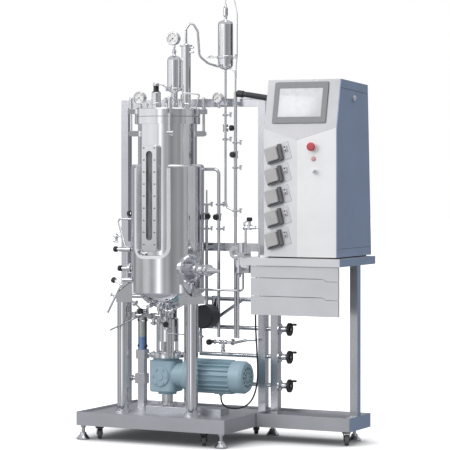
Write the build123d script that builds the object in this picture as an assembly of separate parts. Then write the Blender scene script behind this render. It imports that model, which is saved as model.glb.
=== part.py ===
from build123d import *
import math
import os

# Pilot bioreactor: a jacketed, bottom-driven vessel on a tray skid, with its pipe rack, work table and
# control cabinet. Lengths are millimetres. The skid coordinates used below run X from the vessel tray's
# left side, Y from its front and Z up from the floor; everything is moved at the end so that the
# origin is the middle of the footprint, on the floor.

# ------------------------------------------------------------------ driving dimensions
TRAY_W, TRAY_D = 784.0, 576.0            # vessel tray
CONTROL_W, CONTROL_D = 477.0, 250.0      # control tray, its back in line with the vessel tray's
TRAY_BOTTOM, TRAY_FLOOR, TRAY_TOP = 66.0, 118.0, 130.0
SHEET = 3.0                              # folded stainless sheet
TRAY_FLANGE = 70.0                       # inward bottom flange that carries feet and castors
PLINTH = (240.0, 640.0, 245.0, 331.0)    # raised channel under the drive: X and Y limits
PLINTH_TOP = 147.0

TUBE = 38.0                              # square tube of rack and table stand
RACK_Y = 444.0                           # front of the rack's tubes
RACK_POSTS = (-8.0, 737.5)               # left side of each rack post
RACK_TOP = 1608.0
RACK_RAIL = 880.0                        # underside of the middle rail
STAND_Y = 442.0
STAND_POSTS = (804.0, 1212.0)

TABLE = (740.0, 1250.0, 239.0, 659.0)    # X and Y limits of the table top
TABLE_BOTTOM, TABLE_TOP = 825.0, 862.0
DRAWER_FRONT = (796.0, 1240.0)
DRAWER_FRONT_Y, DRAWER_FRONT_T = 245.0, 14.0
DRAWER_LINES = (823.0, 770.0, 685.0, 597.0)
DRAWER_GAP = 2.5
DRAWER_BODY = (862.0, 1124.0, 490.0)     # X limits and back of the drawer boxes
GRIP_W, GRIP_DROP = 62.0, 11.0           # finger dip at the right end of each drawer line

CABINET = (863.0, 1227.0)                # X limits of the cabinet shell
CABINET_BOTTOM = 868.0
CABINET_FRONT, PROW_Y, PROW_X = 250.0, 238.0, 1037.0
PANEL_FOOT, PANEL_HEAD = (250.0, 1460.0), (298.0, 1685.0)   # Y, Z of the leaning screen panel
ROOF_BACK, BACK_FOOT = (607.0, 1667.0), (649.0, 868.0)
SIDE_SKIN, LID_BAND = 5.0, 40.0          # side panel, and the lid seam below the roof

VX, VY = 334.0, 288.0                    # vessel axis
SHELL_R, SHELL_T = 140.0, 4.0
DISH_BOTTOM, DISH_TOP = 612.0, 690.0
FLANGE_R, FLANGE_BOTTOM, FLANGE_TOP = 156.0, 1486.0, 1519.0
GASKET_T = 3.0
LID_TOP = 1560.0
JACKET_R, JACKET_BOTTOM, JACKET_TOP = 174.0, 683.0, 1294.0
WINDOW_HALF, WINDOW_BOTTOM, WINDOW_R = 85.0, 862.0, 42.0    # cut-out of the jacket round the sight glass
RIM_W, RIM_T = 11.0, 4.0                 # rolled lip round that cut-out: width and height
PAD_HALF, PAD_BOTTOM, PAD_TOP, PAD_Y = 40.0, 885.0, 1384.0, 119.0
SLOT_HALF, SLOT_BOTTOM, SLOT_TOP = 17.0, 937.0, 1357.0
GLASS_HALF, GLASS_T = 27.0, 10.0
FRAME_T = 12.0
SEAL_BORE_R, SEAL_BOSS_R, SEAL_FACE = 21.0, 46.0, 600.0

LEG_R = 29.0
LEGS = ((210.0, 210.0), (330.0, 220.0), (90.0, 228.0))     # bearing and distance of each leg from the axis
LEG_TOP, BRACKET_TOP, GUSSET_TOP = 642.0, 679.0, 731.0

SWING_ANGLES = (-58.0, 32.0, 122.0, 212.0)
SWING_RING = 173.0                       # radius of the swing bolts' centres
SWING_PIVOT_Z, SWING_TOP = 1440.0, 1614.0
BOLT_R, NUT_R, PIVOT_R = 6.0, 9.0, 4.0

SHAFT_R, RUNNING = 8.0, 0.05             # agitator shaft and the radial clearance of running fits
IMPELLER_Z = (760.0, 930.0, 1100.0)
IMPELLER_R = 54.0
GEAR_BOTTOM, GEAR_TOP = 215.0, 378.0
MOTOR_Z = 298.0
MOTOR_X, FINS = (452.0, 700.0), 20
COWL_END = 761.0
ROTOR_R = 10.0
LANTERN_R = 53.0

WHEEL_R, WHEEL_W, WHEEL_LIFT = 25.0, 20.0, 2.0
CASTOR_TRAIL, AXLE_R, KINGPIN_R = 20.0, 4.0, 6.0
CASTORS = {
    "front_left": (104.5, 42.0, 118.5),
    "front_right": (659.0, 40.0, 118.5),
    "rear_right": (690.0, 524.0, 118.5),
    "control": (1222.0, 378.0, 298.5),
}
FEET = ((26.0, 24.0), (752.0, 30.0), (30.0, 546.0), (762.0, 552.0), (1190.0, 546.0))
FOOT_R, FOOT_H, STEM_R = 30.0, 32.0, 8.0

PIPE_Y = 412.0                           # plane of the pipes on the rack
PIPE_A, PIPE_B, PIPE_C, PIPE_D = 480.0, 545.0, 581.0, 634.0
PIPE_R = 7.5
HEADER_Y, HEADER_R = 461.0, 10.0
HEADERS = (651.0, 516.0, 385.0, 250.0)
HANDWHEELS = {"top": 516.0, "middle": 385.0, "bottom": 250.0}
HANDWHEEL_X, HANDWHEEL_R = 894.0, 31.0

LID_PORTS = {                            # x, y, flange radius, height of the welded ferrules
    "filter": (352.0, 322.0, 25.0, 40.0),
    "condenser": (412.0, 330.0, 27.0, 18.0),
    "lamp": (321.0, 200.0, 25.0, 20.0),
    "gauge": (222.0, 226.0, 14.0, 10.0),
}
FEED_PORTS = ((270.0, 200.0), (268.0, 330.0), (300.0, 380.0), (372.0, 212.0), (440.0, 238.0), (300.0, 262.0))

KNOB_BORE_R = 4.05
KNOBS = {                                # valve centre and the way its knob points
    "knob_steam": ((PIPE_C, PIPE_Y, 1467.0), (1.0, 0.0, 0.0)),
    "knob_air": ((PIPE_D, PIPE_Y, 1340.0), (0.0, -1.0, 0.0)),
    "knob_water": ((PIPE_A, PIPE_Y, 1046.0), (0.6, -0.8, 0.0)),
    "knob_jacket": ((PIPE_B, PIPE_Y, 1043.0), (0.0, -1.0, 0.0)),
}

SAMPLE_Y = 222.0                         # plane of the sampling valves
PORT_ANGLE, PORT_Z = -24.0, 801.0        # probe port: bearing and height
HARVEST, SPINDLE_R = (300.0, 214.0, 578.0), 6.0
TRAP_CUP, TRAP = (709.0, 300.0), (747.0, 212.0)     # condensate trap: its cup, and its valves on the table
PUMP_AT = (506.0, 358.0, 572.0)          # middle of the circulation pump
FLOW_METER = (128.0, 414.0)

PUMPS_X, PUMPS_Z, PUMP_PITCH, PUMP_TURN = 939.0, 1347.0, 98.3, 15.0     # pump heads on the cabinet front
STOP_AT, LAMP_AT, KEY_AT = (1112.0, 1374.0), (1118.0, 1319.0), (1126.0, 1261.0)
STOP_STEM_R, STOP_TRAVEL = 7.0, 4.0
KEY_R = 6.0

CABLE_R = 4.0
CABLE_ROUTE = [
    (620, 288, 208), (620, 288, 183), (631.5, 293, 161.5), (651.5, 301, 150), (678, 312, 147), (706, 325, 150),
    (733, 338, 163), (752, 350, 188), (763, 360, 221), (769, 368, 260), (770, 374, 305), (767, 379, 355),
    (762, 383, 405), (757, 386, 458), (753, 388, 510), (751, 389, 560), (751.5, 389, 612), (753, 389, 665),
    (755, 389, 718), (757, 389, 772), (757, 389, 825),
]

CENTRED = (Align.CENTER, Align.CENTER, Align.MIN)


# ------------------------------------------------------------------ helpers
def block(x0, x1, y0, y1, z0, z1):
    return Pos(x0, y0, z0) * Box(x1 - x0, y1 - y0, z1 - z0, align=(Align.MIN, Align.MIN, Align.MIN))


def rod(start, end, radius):
    run = Vector(*end) - Vector(*start)
    return Plane(origin=start, z_dir=run) * Cylinder(radius, run.length, align=CENTRED)


def turned(outline, at=(0, 0, 0), along=(0, 0, 1)):
    """Solid of revolution from (radius, height) points."""
    face = make_face(Polyline(*[(r, 0, z) for r, z in outline], close=True))
    return Plane(origin=at, z_dir=along) * revolve(face, axis=Axis.Z)


def bent_tube(points, radius, bend):
    path = FilletPolyline(*points, radius=bend)
    return sweep(Plane(origin=path @ 0, z_dir=path % 0) * Circle(radius), path=path)


def plate(outline, thickness, plane=Plane.XY):
    return extrude(plane * make_face(Polyline(*outline, close=True)), thickness)


def round_plate(width, height, corner, thickness, plane):
    return extrude(plane * RectangleRounded(width, height, corner), thickness)


def about_vessel(angle, shape):
    return Pos(VX, VY, 0) * Rot(0, 0, angle) * shape


def bolts_on(ring, count, radius, length, at, along=(0, 0, 1), head=1.7):
    """Ring of hexagon-headed screws standing on a face."""
    screws = []
    for i in range(count):
        turn = 2 * math.pi * (i + 0.5) / count
        place = Pos(ring * math.cos(turn), ring * math.sin(turn), 0)
        screws.append(place * extrude(RegularPolygon(radius * head, 6), length))
    return Plane(origin=at, z_dir=along) * (Part() + screws)


def clamp_band(radius, at, along, width=12.0, turn=0.0):
    """Two-half clamp round a ferrule pair, with its wing nut."""
    half = width / 2
    ring = turned([(0, -half), (radius - 4, -half), (radius, -half + 3), (radius, half - 3),
                   (radius - 4, half), (0, half)])
    ear = Pos(radius - 2, 0, 0) * Box(22, 9, 9) + Pos(radius + 12, 0, 0) * Cylinder(4, 20)
    wing = Pos(radius + 12, 0, 10) * Box(6, 24, 4)
    return Plane(origin=at, z_dir=along) * Rot(0, 0, turn) * (ring + ear + wing)


# ------------------------------------------------------------------ skids
def tray(x0, x1, y0, y1, flange):
    """Folded pan: rim, recessed floor and an inward flange underneath."""
    body = block(x0, x1, y0, y1, TRAY_BOTTOM, TRAY_TOP)
    body = fillet(body.edges().filter_by(Axis.Z), 5)
    body -= block(x0 + SHEET, x1 - SHEET, y0 + SHEET, y1 - SHEET, TRAY_FLOOR, TRAY_TOP + 1)
    body -= block(x0 + SHEET, x1 - SHEET, y0 + SHEET, y1 - SHEET, TRAY_BOTTOM + SHEET, TRAY_FLOOR - SHEET)
    body -= block(x0 + flange, x1 - flange, y0 + flange, y1 - flange, TRAY_BOTTOM - 1, TRAY_BOTTOM + SHEET + 1)
    return body


def castor_plate(name):
    """Top plate and kingpin of one castor, welded under its tray."""
    x, y, _ = CASTORS[name]
    top = Pos(x, y, TRAY_BOTTOM - 3) * extrude(RectangleRounded(46, 46, 6), 3)
    return top + Pos(x, y, 52) * Cylinder(KINGPIN_R, TRAY_BOTTOM - 53, align=CENTRED)


def vessel_tray():
    body = tray(0, TRAY_W, 0, TRAY_D, TRAY_FLANGE)
    x0, x1, y0, y1 = PLINTH
    channel = block(x0, x1, y0, y1, TRAY_FLOOR, PLINTH_TOP)
    body += fillet(channel.edges().filter_by(Axis.X).group_by(Axis.Z)[-1], 4)
    for x in (255.0, 500.0):
        body += block(x, x + 30, SHEET, TRAY_D - SHEET, 95, TRAY_FLOOR - SHEET)
    for name in ("front_left", "front_right", "rear_right"):
        body += castor_plate(name)
    return body


def control_tray():
    body = tray(TRAY_W, TRAY_W + CONTROL_W, TRAY_D - CONTROL_D, TRAY_D, 60)
    return body + castor_plate("control")


def levelling_feet():
    """Screw feet: cone pad, stem and lock nut."""
    feet = []
    for x, y in FEET:
        pad = turned([(0, 0), (FOOT_R, 0), (FOOT_R, 6), (FOOT_R - 3, 10), (16, FOOT_H - 8), (14, FOOT_H),
                      (0, FOOT_H)], (x, y, 0))
        stem = Pos(x, y, FOOT_H) * Cylinder(STEM_R, TRAY_BOTTOM - FOOT_H, align=CENTRED)
        nut = Pos(x, y, TRAY_BOTTOM - 11) * extrude(RegularPolygon(14, 6), 11)
        feet.append(pad + stem + nut)
    return feet


def castor_fork(name):
    """Swivel fork with riveted axle, built round the kingpin and turned to its parking angle."""
    x, y, angle = CASTORS[name]
    axle_z = WHEEL_R + WHEEL_LIFT
    head = Pos(0, 0, 55) * Cylinder(20, TRAY_BOTTOM - 3.3 - 55, align=CENTRED)
    head -= Pos(0, 0, 50) * Cylinder(KINGPIN_R + RUNNING, 30, align=CENTRED)
    side = Plane(origin=(0, 0, 0), x_dir=(1, 0, 0), z_dir=(0, -1, 0))
    outline = [(-16, 60), (-16, 54), (CASTOR_TRAIL - 8, axle_z - 4), (CASTOR_TRAIL, axle_z - 8),
               (CASTOR_TRAIL + 8, axle_z - 3), (19, 55), (17, 60)]
    cheek = plate(outline, 2.5, side)
    fork = head + Pos(0, -11.5, 0) * cheek + Pos(0, 14, 0) * cheek
    fork += (Pos(0, 0, 54) * Box(26, 27, 4, align=CENTRED)
             - Pos(0, 0, 50) * Cylinder(KINGPIN_R + RUNNING, 30, align=CENTRED))
    fork += Pos(CASTOR_TRAIL, 0, axle_z) * Rot(90, 0, 0) * Cylinder(AXLE_R, 30)
    return Pos(x, y, 0) * Rot(0, 0, angle) * fork


def castor_wheel(name):
    x, y, angle = CASTORS[name]
    half = WHEEL_W / 2
    bore = AXLE_R + RUNNING
    tyre = turned([(bore, -half), (9, -half), (9, -half + 2), (18, -half + 2), (20, -half),
                   (WHEEL_R - 2, -half), (WHEEL_R, -half + 3), (WHEEL_R, half - 3), (WHEEL_R - 2, half),
                   (20, half), (18, half - 2), (9, half - 2), (9, half), (bore, half)])
    return Pos(x, y, 0) * Rot(0, 0, angle) * Pos(CASTOR_TRAIL, 0, WHEEL_R + WHEEL_LIFT) * Rot(90, 0, 0) * tyre


# ------------------------------------------------------------------ rack and table
def headers_through(x0, x1):
    """Clearance-free holes where the drain headers pass through square tube."""
    return [rod((x0, HEADER_Y, z), (x1, HEADER_Y, z), HEADER_R) for z in HEADERS[1:]]


def pipe_rack():
    """Welded square tube. The middle rail is a saddle that steadies the jacket."""
    y0, y1 = RACK_Y, RACK_Y + TUBE
    left, right = RACK_POSTS
    frame = block(left, left + TUBE, y0, y1, TRAY_FLOOR, RACK_TOP)
    frame -= block(left - 1, SHEET, y0 - 1, y1 + 1, TRAY_FLOOR - 1, TRAY_TOP)
    frame += block(right, right + TUBE, y0, y1, TRAY_FLOOR, RACK_TOP)
    frame += block(left, right, y0, y1, RACK_TOP - TUBE, RACK_TOP)
    frame += block(left, right, y0, y1, RACK_RAIL, RACK_RAIL + TUBE)
    frame -= Pos(VX, VY, RACK_RAIL - 10) * Cylinder(JACKET_R, TUBE + 20, align=CENTRED)
    return frame - headers_through(right - 1, right + TUBE + 1)


def work_table():
    """Table top notched round the rack, two posts on foot plates and the drawer case, touching one another."""
    x0, x1, y0, y1 = TABLE
    top = fillet(block(x0, x1, y0, y1, TABLE_BOTTOM, TABLE_TOP).edges().filter_by(Axis.Z), 3)
    right = RACK_POSTS[1]
    top -= block(right, right + TUBE, RACK_Y, RACK_Y + TUBE, TABLE_BOTTOM - 1, TABLE_TOP + 1)
    pieces = [top]
    for x in STAND_POSTS:
        foot = block(x - 12, x + TUBE + 2, STAND_Y - 12, STAND_Y + TUBE + 12, TRAY_FLOOR, TRAY_FLOOR + 6)
        post = block(x, x + TUBE, STAND_Y, STAND_Y + TUBE, TRAY_FLOOR + 6, TABLE_BOTTOM)
        if x == STAND_POSTS[0]:
            post -= headers_through(x - 1, x + TUBE + 1)
        pieces += [post, foot]
    return pieces + drawer_carcass()


def drawer_carcass():
    """Sheet case under the table, plate by plate, with a pair of runner ledges for each drawer."""
    x0, x1, back = DRAWER_BODY
    left, right = x0 - 5.5, x1 + 5.5
    y0, y1, bottom = DRAWER_FRONT_Y + DRAWER_FRONT_T + 1, back + 12, DRAWER_LINES[-1] + 2
    low, high = bottom + 2, TABLE_BOTTOM - 1
    case = [block(left, right, y0, y1, bottom, low), block(left, right, y0, y1, high, TABLE_BOTTOM)]
    case += [block(left, left + 2, y0, y1, low, high), block(right - 2, right, y0, y1, low, high)]
    case.append(block(left + 2, right - 2, y1 - 2, y1, low, high))
    for line in DRAWER_LINES[1:-1]:
        case.append(block(left + 2, x0 + 12, y0, y1 - 2, line - 1, line + 1))
        case.append(block(x1 - 12, right - 2, y0, y1 - 2, line - 1, line + 1))
    return case


def drawer(index):
    """Wide front with a finger dip along its top edge, and a narrower box behind it."""
    top, bottom = DRAWER_LINES[index], DRAWER_LINES[index + 1]
    left, right = DRAWER_FRONT
    x0, x1, back = DRAWER_BODY
    high = top - (DRAWER_GAP if index else 0)
    front_plane = Plane(origin=(0, DRAWER_FRONT_Y, 0), x_dir=(1, 0, 0), z_dir=(0, -1, 0))
    ends = [(left, high), (right - GRIP_W - 14, high)]
    ends += [(right - GRIP_W, high - GRIP_DROP), (right, high - GRIP_DROP)] if index else [(right, high)]
    foot = [(right, bottom), (left, bottom)]
    if index < 2:
        foot = [(right, bottom - GRIP_DROP), (right - GRIP_W, bottom - GRIP_DROP),
                (right - GRIP_W - 14, bottom), (left, bottom)]
    front = Pos(0, DRAWER_FRONT_T, 0) * plate(ends + foot, DRAWER_FRONT_T, front_plane)
    box_top, box_bottom = top - 14, bottom + 1.5 if index < 2 else bottom + 4.5
    y0 = DRAWER_FRONT_Y + DRAWER_FRONT_T
    body = block(x0, x1, y0, back, box_bottom, box_top)
    body -= block(x0 + 2, x1 - 2, y0 + 2, back - 2, box_bottom + 2, box_top + 1)
    return front + body


# ------------------------------------------------------------------ vessel
def dish(radius, top, bottom):
    """Half outline of a dished end as an arc edge from the axis to the wall."""
    middle = (radius * 0.64, 0, bottom + (top - bottom) * 0.25)
    return ThreePointArc((0, 0, bottom), middle, (radius, 0, top))


def vessel_shell():
    inner = SHELL_R - SHELL_T
    edges = [
        dish(SHELL_R, DISH_TOP, DISH_BOTTOM),
        Polyline((SHELL_R, 0, DISH_TOP), (SHELL_R, 0, FLANGE_BOTTOM), (FLANGE_R, 0, FLANGE_BOTTOM),
                 (FLANGE_R, 0, FLANGE_TOP), (inner, 0, FLANGE_TOP), (inner, 0, DISH_TOP)),
        dish(inner, DISH_TOP, DISH_BOTTOM + SHELL_T),
        Line((0, 0, DISH_BOTTOM), (0, 0, DISH_BOTTOM + SHELL_T)),
    ]
    return revolve(make_face(edges), axis=Axis.Z)


def jacket():
    """Insulated jacket with a deep U-shaped window, its rim rounded over."""
    body = Pos(0, 0, JACKET_BOTTOM) * Cylinder(JACKET_R, JACKET_TOP - JACKET_BOTTOM, align=CENTRED)
    rims = body.edges().filter_by(GeomType.CIRCLE).sort_by(Axis.Z)
    body = fillet(rims[-1], 14)
    body = fillet(body.edges().filter_by(GeomType.CIRCLE).sort_by(Axis.Z)[0], 8)
    body -= Pos(0, 0, DISH_TOP) * Cylinder(SHELL_R - 1, 800, align=CENTRED)
    body -= Pos(0, 0, JACKET_BOTTOM - 10) * Cylinder(SHELL_R - 1, 40, align=CENTRED)
    window = window_plate(WINDOW_HALF, WINDOW_BOTTOM, WINDOW_R)
    return body - (window - Cylinder(SHELL_R - 0.5, 4000))


def window_plate(half, bottom, corner):
    """Tall rounded bar along -Y with the outline of the jacket window, open at the top."""
    tall = 2 * (JACKET_TOP - bottom)
    plane = Plane(origin=(0, 0, bottom + tall / 2), x_dir=(1, 0, 0), z_dir=(0, -1, 0))
    return round_plate(2 * half, tall, corner, 260, plane)


def window_rim():
    """Rolled lip that stands proud of the jacket all round its window."""
    lip = window_plate(WINDOW_HALF + RIM_W, WINDOW_BOTTOM - RIM_W, WINDOW_R + RIM_W)
    lip -= window_plate(WINDOW_HALF - RIM_T, WINDOW_BOTTOM + RIM_T, WINDOW_R - RIM_T)
    band = Cylinder(JACKET_R + RIM_T, JACKET_TOP - 18, align=CENTRED)
    band -= Cylinder(JACKET_R - 16, JACKET_TOP, align=CENTRED)
    return lip & band


def swing_lugs():
    """Pairs of ears that carry the swing bolts' pivots."""
    ears = []
    for angle in SWING_ANGLES:
        ear = Pos(SWING_RING - 19, 0, SWING_PIVOT_Z) * Box(38, 6, 26)
        ear += Pos(SWING_RING, 0, SWING_PIVOT_Z) * Rot(90, 0, 0) * Cylinder(13, 6)
        pair = Pos(0, 10.3, 0) * ear + Pos(0, -10.3, 0) * ear
        pair -= Pos(SWING_RING, 0, SWING_PIVOT_Z) * Rot(90, 0, 0) * Cylinder(PIVOT_R + RUNNING, 60)
        ears.append(Rot(0, 0, angle) * pair)
    return ears


def jacketed_vessel():
    body = Pos(VX, VY, 0) * (vessel_shell() + jacket() + window_rim())
    pad = round_plate(2 * PAD_HALF, PAD_TOP - PAD_BOTTOM, 14, VY - PAD_Y,
                      Plane(origin=(VX, VY, (PAD_TOP + PAD_BOTTOM) / 2), x_dir=(1, 0, 0), z_dir=(0, -1, 0)))
    pad -= Pos(VX, VY, 0) * Cylinder(SHELL_R - 1, 4000)
    body += pad
    body += Pos(VX, VY, 0) * (Part() + [ear - Cylinder(SHELL_R - 1, 4000) for ear in swing_lugs()])
    body -= sight_slot(SLOT_HALF, SLOT_BOTTOM, SLOT_TOP, PAD_Y - 1, VY - 90)
    body -= sight_slot(GLASS_HALF, SLOT_BOTTOM - 10, SLOT_TOP + 10, PAD_Y - 1, PAD_Y + GLASS_T)
    boss = Pos(VX, VY, SEAL_FACE) * Cylinder(SEAL_BOSS_R, 24, align=CENTRED)
    body += (boss
             - Pos(VX, VY, 0)
             * revolve(make_face([dish(SHELL_R - SHELL_T, DISH_TOP, DISH_BOTTOM + SHELL_T),
                                  Polyline((SHELL_R - SHELL_T, 0, DISH_TOP), (0, 0, DISH_TOP),
                                           (0, 0, DISH_BOTTOM + SHELL_T))]), axis=Axis.Z))
    body -= Pos(VX, VY, SEAL_FACE - 1) * Cylinder(SEAL_BORE_R, 60, align=CENTRED)
    return body


def sight_slot(half, bottom, top, y0, y1):
    """Upright obround bar used to cut the sight opening."""
    plane = Plane(origin=(VX, y1, (top + bottom) / 2), x_dir=(1, 0, 0), z_dir=(0, -1, 0))
    return extrude(plane * SlotOverall(top - bottom, 2 * half, rotation=90), y1 - y0)


def sight_glass():
    return sight_slot(GLASS_HALF - 0.3, SLOT_BOTTOM - 9.7, SLOT_TOP + 9.7, PAD_Y, PAD_Y + GLASS_T)


def sight_glass_frame():
    y1, y0 = PAD_Y, PAD_Y - FRAME_T
    body = round_plate(2 * PAD_HALF, PAD_TOP - PAD_BOTTOM, 14, FRAME_T,
                       Plane(origin=(VX, y1, (PAD_TOP + PAD_BOTTOM) / 2), x_dir=(1, 0, 0), z_dir=(0, -1, 0)))
    body = chamfer(body.faces().sort_by(Axis.Y)[0].edges(), 1.5)
    return body - sight_slot(SLOT_HALF, SLOT_BOTTOM, SLOT_TOP, y0 - 1, y1 + 1)


def vessel_legs():
    """Three tube legs, each with a base flange and a bracket welded to the jacket."""
    legs = []
    base = TRAY_FLOOR
    for angle, ring in LEGS:
        leg = Pos(ring, 0, base) * Cylinder(40, 8, align=CENTRED)
        leg += bolts_on(34, 4, 4.5, 7, (ring, 0, base + 8))
        leg += Pos(ring, 0, base) * Cylinder(LEG_R, LEG_TOP - base, align=CENTRED)
        leg += block(ring - 42, ring + 34, -48, 48, LEG_TOP, BRACKET_TOP)
        wing_plane = Plane(origin=(0, 0, 0), x_dir=(1, 0, 0), z_dir=(0, -1, 0))
        wing = plate([(120, BRACKET_TOP), (ring + 30, BRACKET_TOP), (ring + 30, BRACKET_TOP + 6),
                      (JACKET_R + 8, GUSSET_TOP), (120, GUSSET_TOP)], 8, wing_plane)
        leg += Pos(0, -30, 0) * wing + Pos(0, 38, 0) * wing
        leg -= Pos(0, 0, BRACKET_TOP) * Cylinder(JACKET_R, 300, align=CENTRED)
        legs.append(about_vessel(angle, leg))
    return legs


def vessel_lid():
    """Head plate with its ferrules, slotted clamping lugs, feed ports and lifting handle."""
    z0 = FLANGE_TOP + GASKET_T
    body = Pos(VX, VY, z0) * Cylinder(FLANGE_R, LID_TOP - z0, align=CENTRED)
    body = chamfer(body.edges().filter_by(GeomType.CIRCLE).sort_by(Axis.Z)[-1], 4)
    for angle in SWING_ANGLES:
        lug = block(FLANGE_R - 14, SWING_RING + 16, -19, 19, LID_TOP - 26, LID_TOP - 4)
        lug -= block(SWING_RING - BOLT_R - 2, SWING_RING + 20, -BOLT_R - 2, BOLT_R + 2, LID_TOP - 30, LID_TOP)
        body += about_vessel(angle, lug)
    body += [ferrule(x, y, LID_TOP, r, h) for x, y, r, h in LID_PORTS.values()]
    for x, y in FEED_PORTS:
        body += Pos(x, y, LID_TOP) * Cylinder(7, 14, align=CENTRED)
        body += Pos(x, y, LID_TOP + 14) * Cylinder(11, 9, align=CENTRED)
    handle = [(412, 271, LID_TOP - 4), (424, 262, LID_TOP + 72), (500, 300, LID_TOP + 66),
              (477, 304, LID_TOP - 4)]
    return body + bent_tube(handle, 4, 9)


def ferrule(x, y, z, radius, height):
    neck = radius * 0.72
    return turned([(0, 0), (neck, 0), (neck, height - 6), (radius, height - 3), (radius, height), (0, height)],
                  (x, y, z))


def lid_gasket():
    z = FLANGE_TOP
    ring = Pos(VX, VY, z) * Cylinder(150, GASKET_T, align=CENTRED)
    return ring - Pos(VX, VY, z - 1) * Cylinder(SHELL_R - SHELL_T, GASKET_T + 2, align=CENTRED)


def swing_bolts():
    """Eye bolts with long domed nuts and their pivot pins."""
    pieces = []
    for angle in SWING_ANGLES:
        eye = Pos(SWING_RING, 0, SWING_PIVOT_Z) * Rot(90, 0, 0) * Cylinder(11, 13)
        bolt = (eye + Pos(SWING_RING, 0, SWING_PIVOT_Z)
                * Cylinder(BOLT_R, LID_TOP - SWING_PIVOT_Z, align=CENTRED))
        bolt -= Pos(SWING_RING, 0, SWING_PIVOT_Z) * Rot(90, 0, 0) * Cylinder(PIVOT_R + RUNNING, 30)
        nut = Pos(SWING_RING, 0, LID_TOP - 4) * Cylinder(NUT_R + 3, 4, align=CENTRED)
        nut += Pos(SWING_RING, 0, LID_TOP) * Cylinder(NUT_R, SWING_TOP - LID_TOP, align=CENTRED)
        nut = fillet(nut.edges().filter_by(GeomType.CIRCLE).sort_by(Axis.Z)[-1], NUT_R - 1)
        nut -= Pos(SWING_RING, 0, LID_TOP - 5) * Cylinder(BOLT_R + RUNNING, 10, align=CENTRED)
        pin = Pos(SWING_RING, 0, SWING_PIVOT_Z) * Rot(90, 0, 0) * Cylinder(PIVOT_R, 32)
        pieces += [about_vessel(angle, piece) for piece in (bolt, nut, pin)]
    return pieces


# ------------------------------------------------------------------ fittings on the lid and the rack
def inlet_filter():
    """Sterile air filter housing standing on its clamp."""
    x, y, _, height = LID_PORTS["filter"]
    z = LID_TOP + height
    body = turned([(0, 0), (25, 0), (25, 3), (16, 7), (16, 36), (28, 44), (33, 47), (33, 192), (29, 203),
                   (20, 210), (9, 213), (7, 217), (7, 222), (10, 228), (10, 238), (6, 243), (0, 243)],
                  (x, y, z))
    body += clamp_band(31, (x, y, z), (0, 0, 1), 12, -125)
    body += clamp_band(38, (x, y, z + 52), (0, 0, 1), 14, -110)
    return body - ferrule(x, y, LID_TOP, LID_PORTS["filter"][2], height)


def condenser():
    """Exhaust condenser on the lid, with its jacket nozzles."""
    x, y, _, height = LID_PORTS["condenser"]
    z = LID_TOP + height
    body = turned([(0, 0), (27, 0), (27, 3), (22, 8), (22, 276), (30, 278), (30, 284), (12, 286), (10, 290),
                   (0, 290)], (x, y, z))
    for lift in (250, 272):
        body += rod((x + 15, y, z + lift), (x + 40, y, z + lift), 5)
    return body


def lid_lamp():
    """Lamp head on a short sight port, with slots for cooling and a locking lever."""
    x, y, _, height = LID_PORTS["lamp"]
    z = LID_TOP + height
    body = turned([(0, 0), (25, 0), (25, 3), (22, 6), (22, 52), (18, 58), (13, 60), (13, 84), (15, 86),
                   (15, 96), (12, 100), (0, 100)], (x, y, z))
    for turn in range(4):
        body -= Pos(x, y, z + 72) * Rot(0, 0, 45 + 90 * turn) * Pos(11, 0, 0) * Box(8, 7, 18)
    lever = bent_tube([(x + 8, y, z + 94), (x + 30, y + 4, z + 90), (x + 62, y + 22, z + 66)], 3, 14)
    return body + lever


def gauge(at, radius, stem):
    """Dial gauge facing the front: case, bezel, recessed dial and stem."""
    case = turned([(0, 0), (radius - 3, 0), (radius - 3, 20), (radius, 22), (radius, 28), (radius - 3, 30),
                   (radius - 5, 30), (radius - 5, 26), (0, 26)], at, (0, -1, 0))
    x, y, z = at
    neck = Pos(x, y - 11, z - radius - stem + 4) * Cylinder(5, stem, align=CENTRED)
    nut = Pos(x, y - 11, z - radius - 8) * extrude(RegularPolygon(9, 6), 9)
    return case + neck + nut


def pressure_gauges():
    gx, gy, _, height = LID_PORTS["gauge"]
    fx, fy, _, lift = LID_PORTS["filter"]
    lid_gauge = gauge((gx, gy + 11, 1610), 30, 1610 - 30 + 4 - LID_TOP - height)
    top = LID_TOP + lift + 243
    filter_gauge = gauge((fx, fy + 11, 1894), 32, 1894 - 32 + 4 - top)
    rack_gauge = gauge((554, PIPE_Y - 6, RACK_TOP + 2), 26, 20)
    rack_gauge += rod((554, PIPE_Y - 17, RACK_TOP - 34), (554, RACK_Y, RACK_TOP - 34), 6)
    rack_gauge += Pos(554, PIPE_Y - 17, RACK_TOP - 46) * Cylinder(7, 20, align=CENTRED)
    return [lid_gauge, filter_gauge, rack_gauge]


def exhaust_filter():
    """Exhaust filter housing on the rack: bowl, clamp, domed head and vent fitting."""
    at = (PIPE_C, PIPE_Y, 1745)
    body = turned([(0, 0), (8, 0), (24, 5), (34, 16), (36, 24), (36, 216), (33, 226), (24, 232), (10, 235),
                   (7, 240), (7, 250), (11, 258), (11, 292), (8, 300), (5, 306), (5, 312), (0, 312)], at)
    body += clamp_band(42, (PIPE_C, PIPE_Y, 1804), (0, 0, 1), 14)
    arm = Plane(origin=(PIPE_C, PIPE_Y, 1806), x_dir=(1, 0, 0), z_dir=(0, -1, 0))
    wing = plate([(-100, -3), (-84, 5), (-72, 8), (-58, 3), (-38, 4), (-38, -4), (-100, -5)], 10, arm)
    return body + wing


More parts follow.
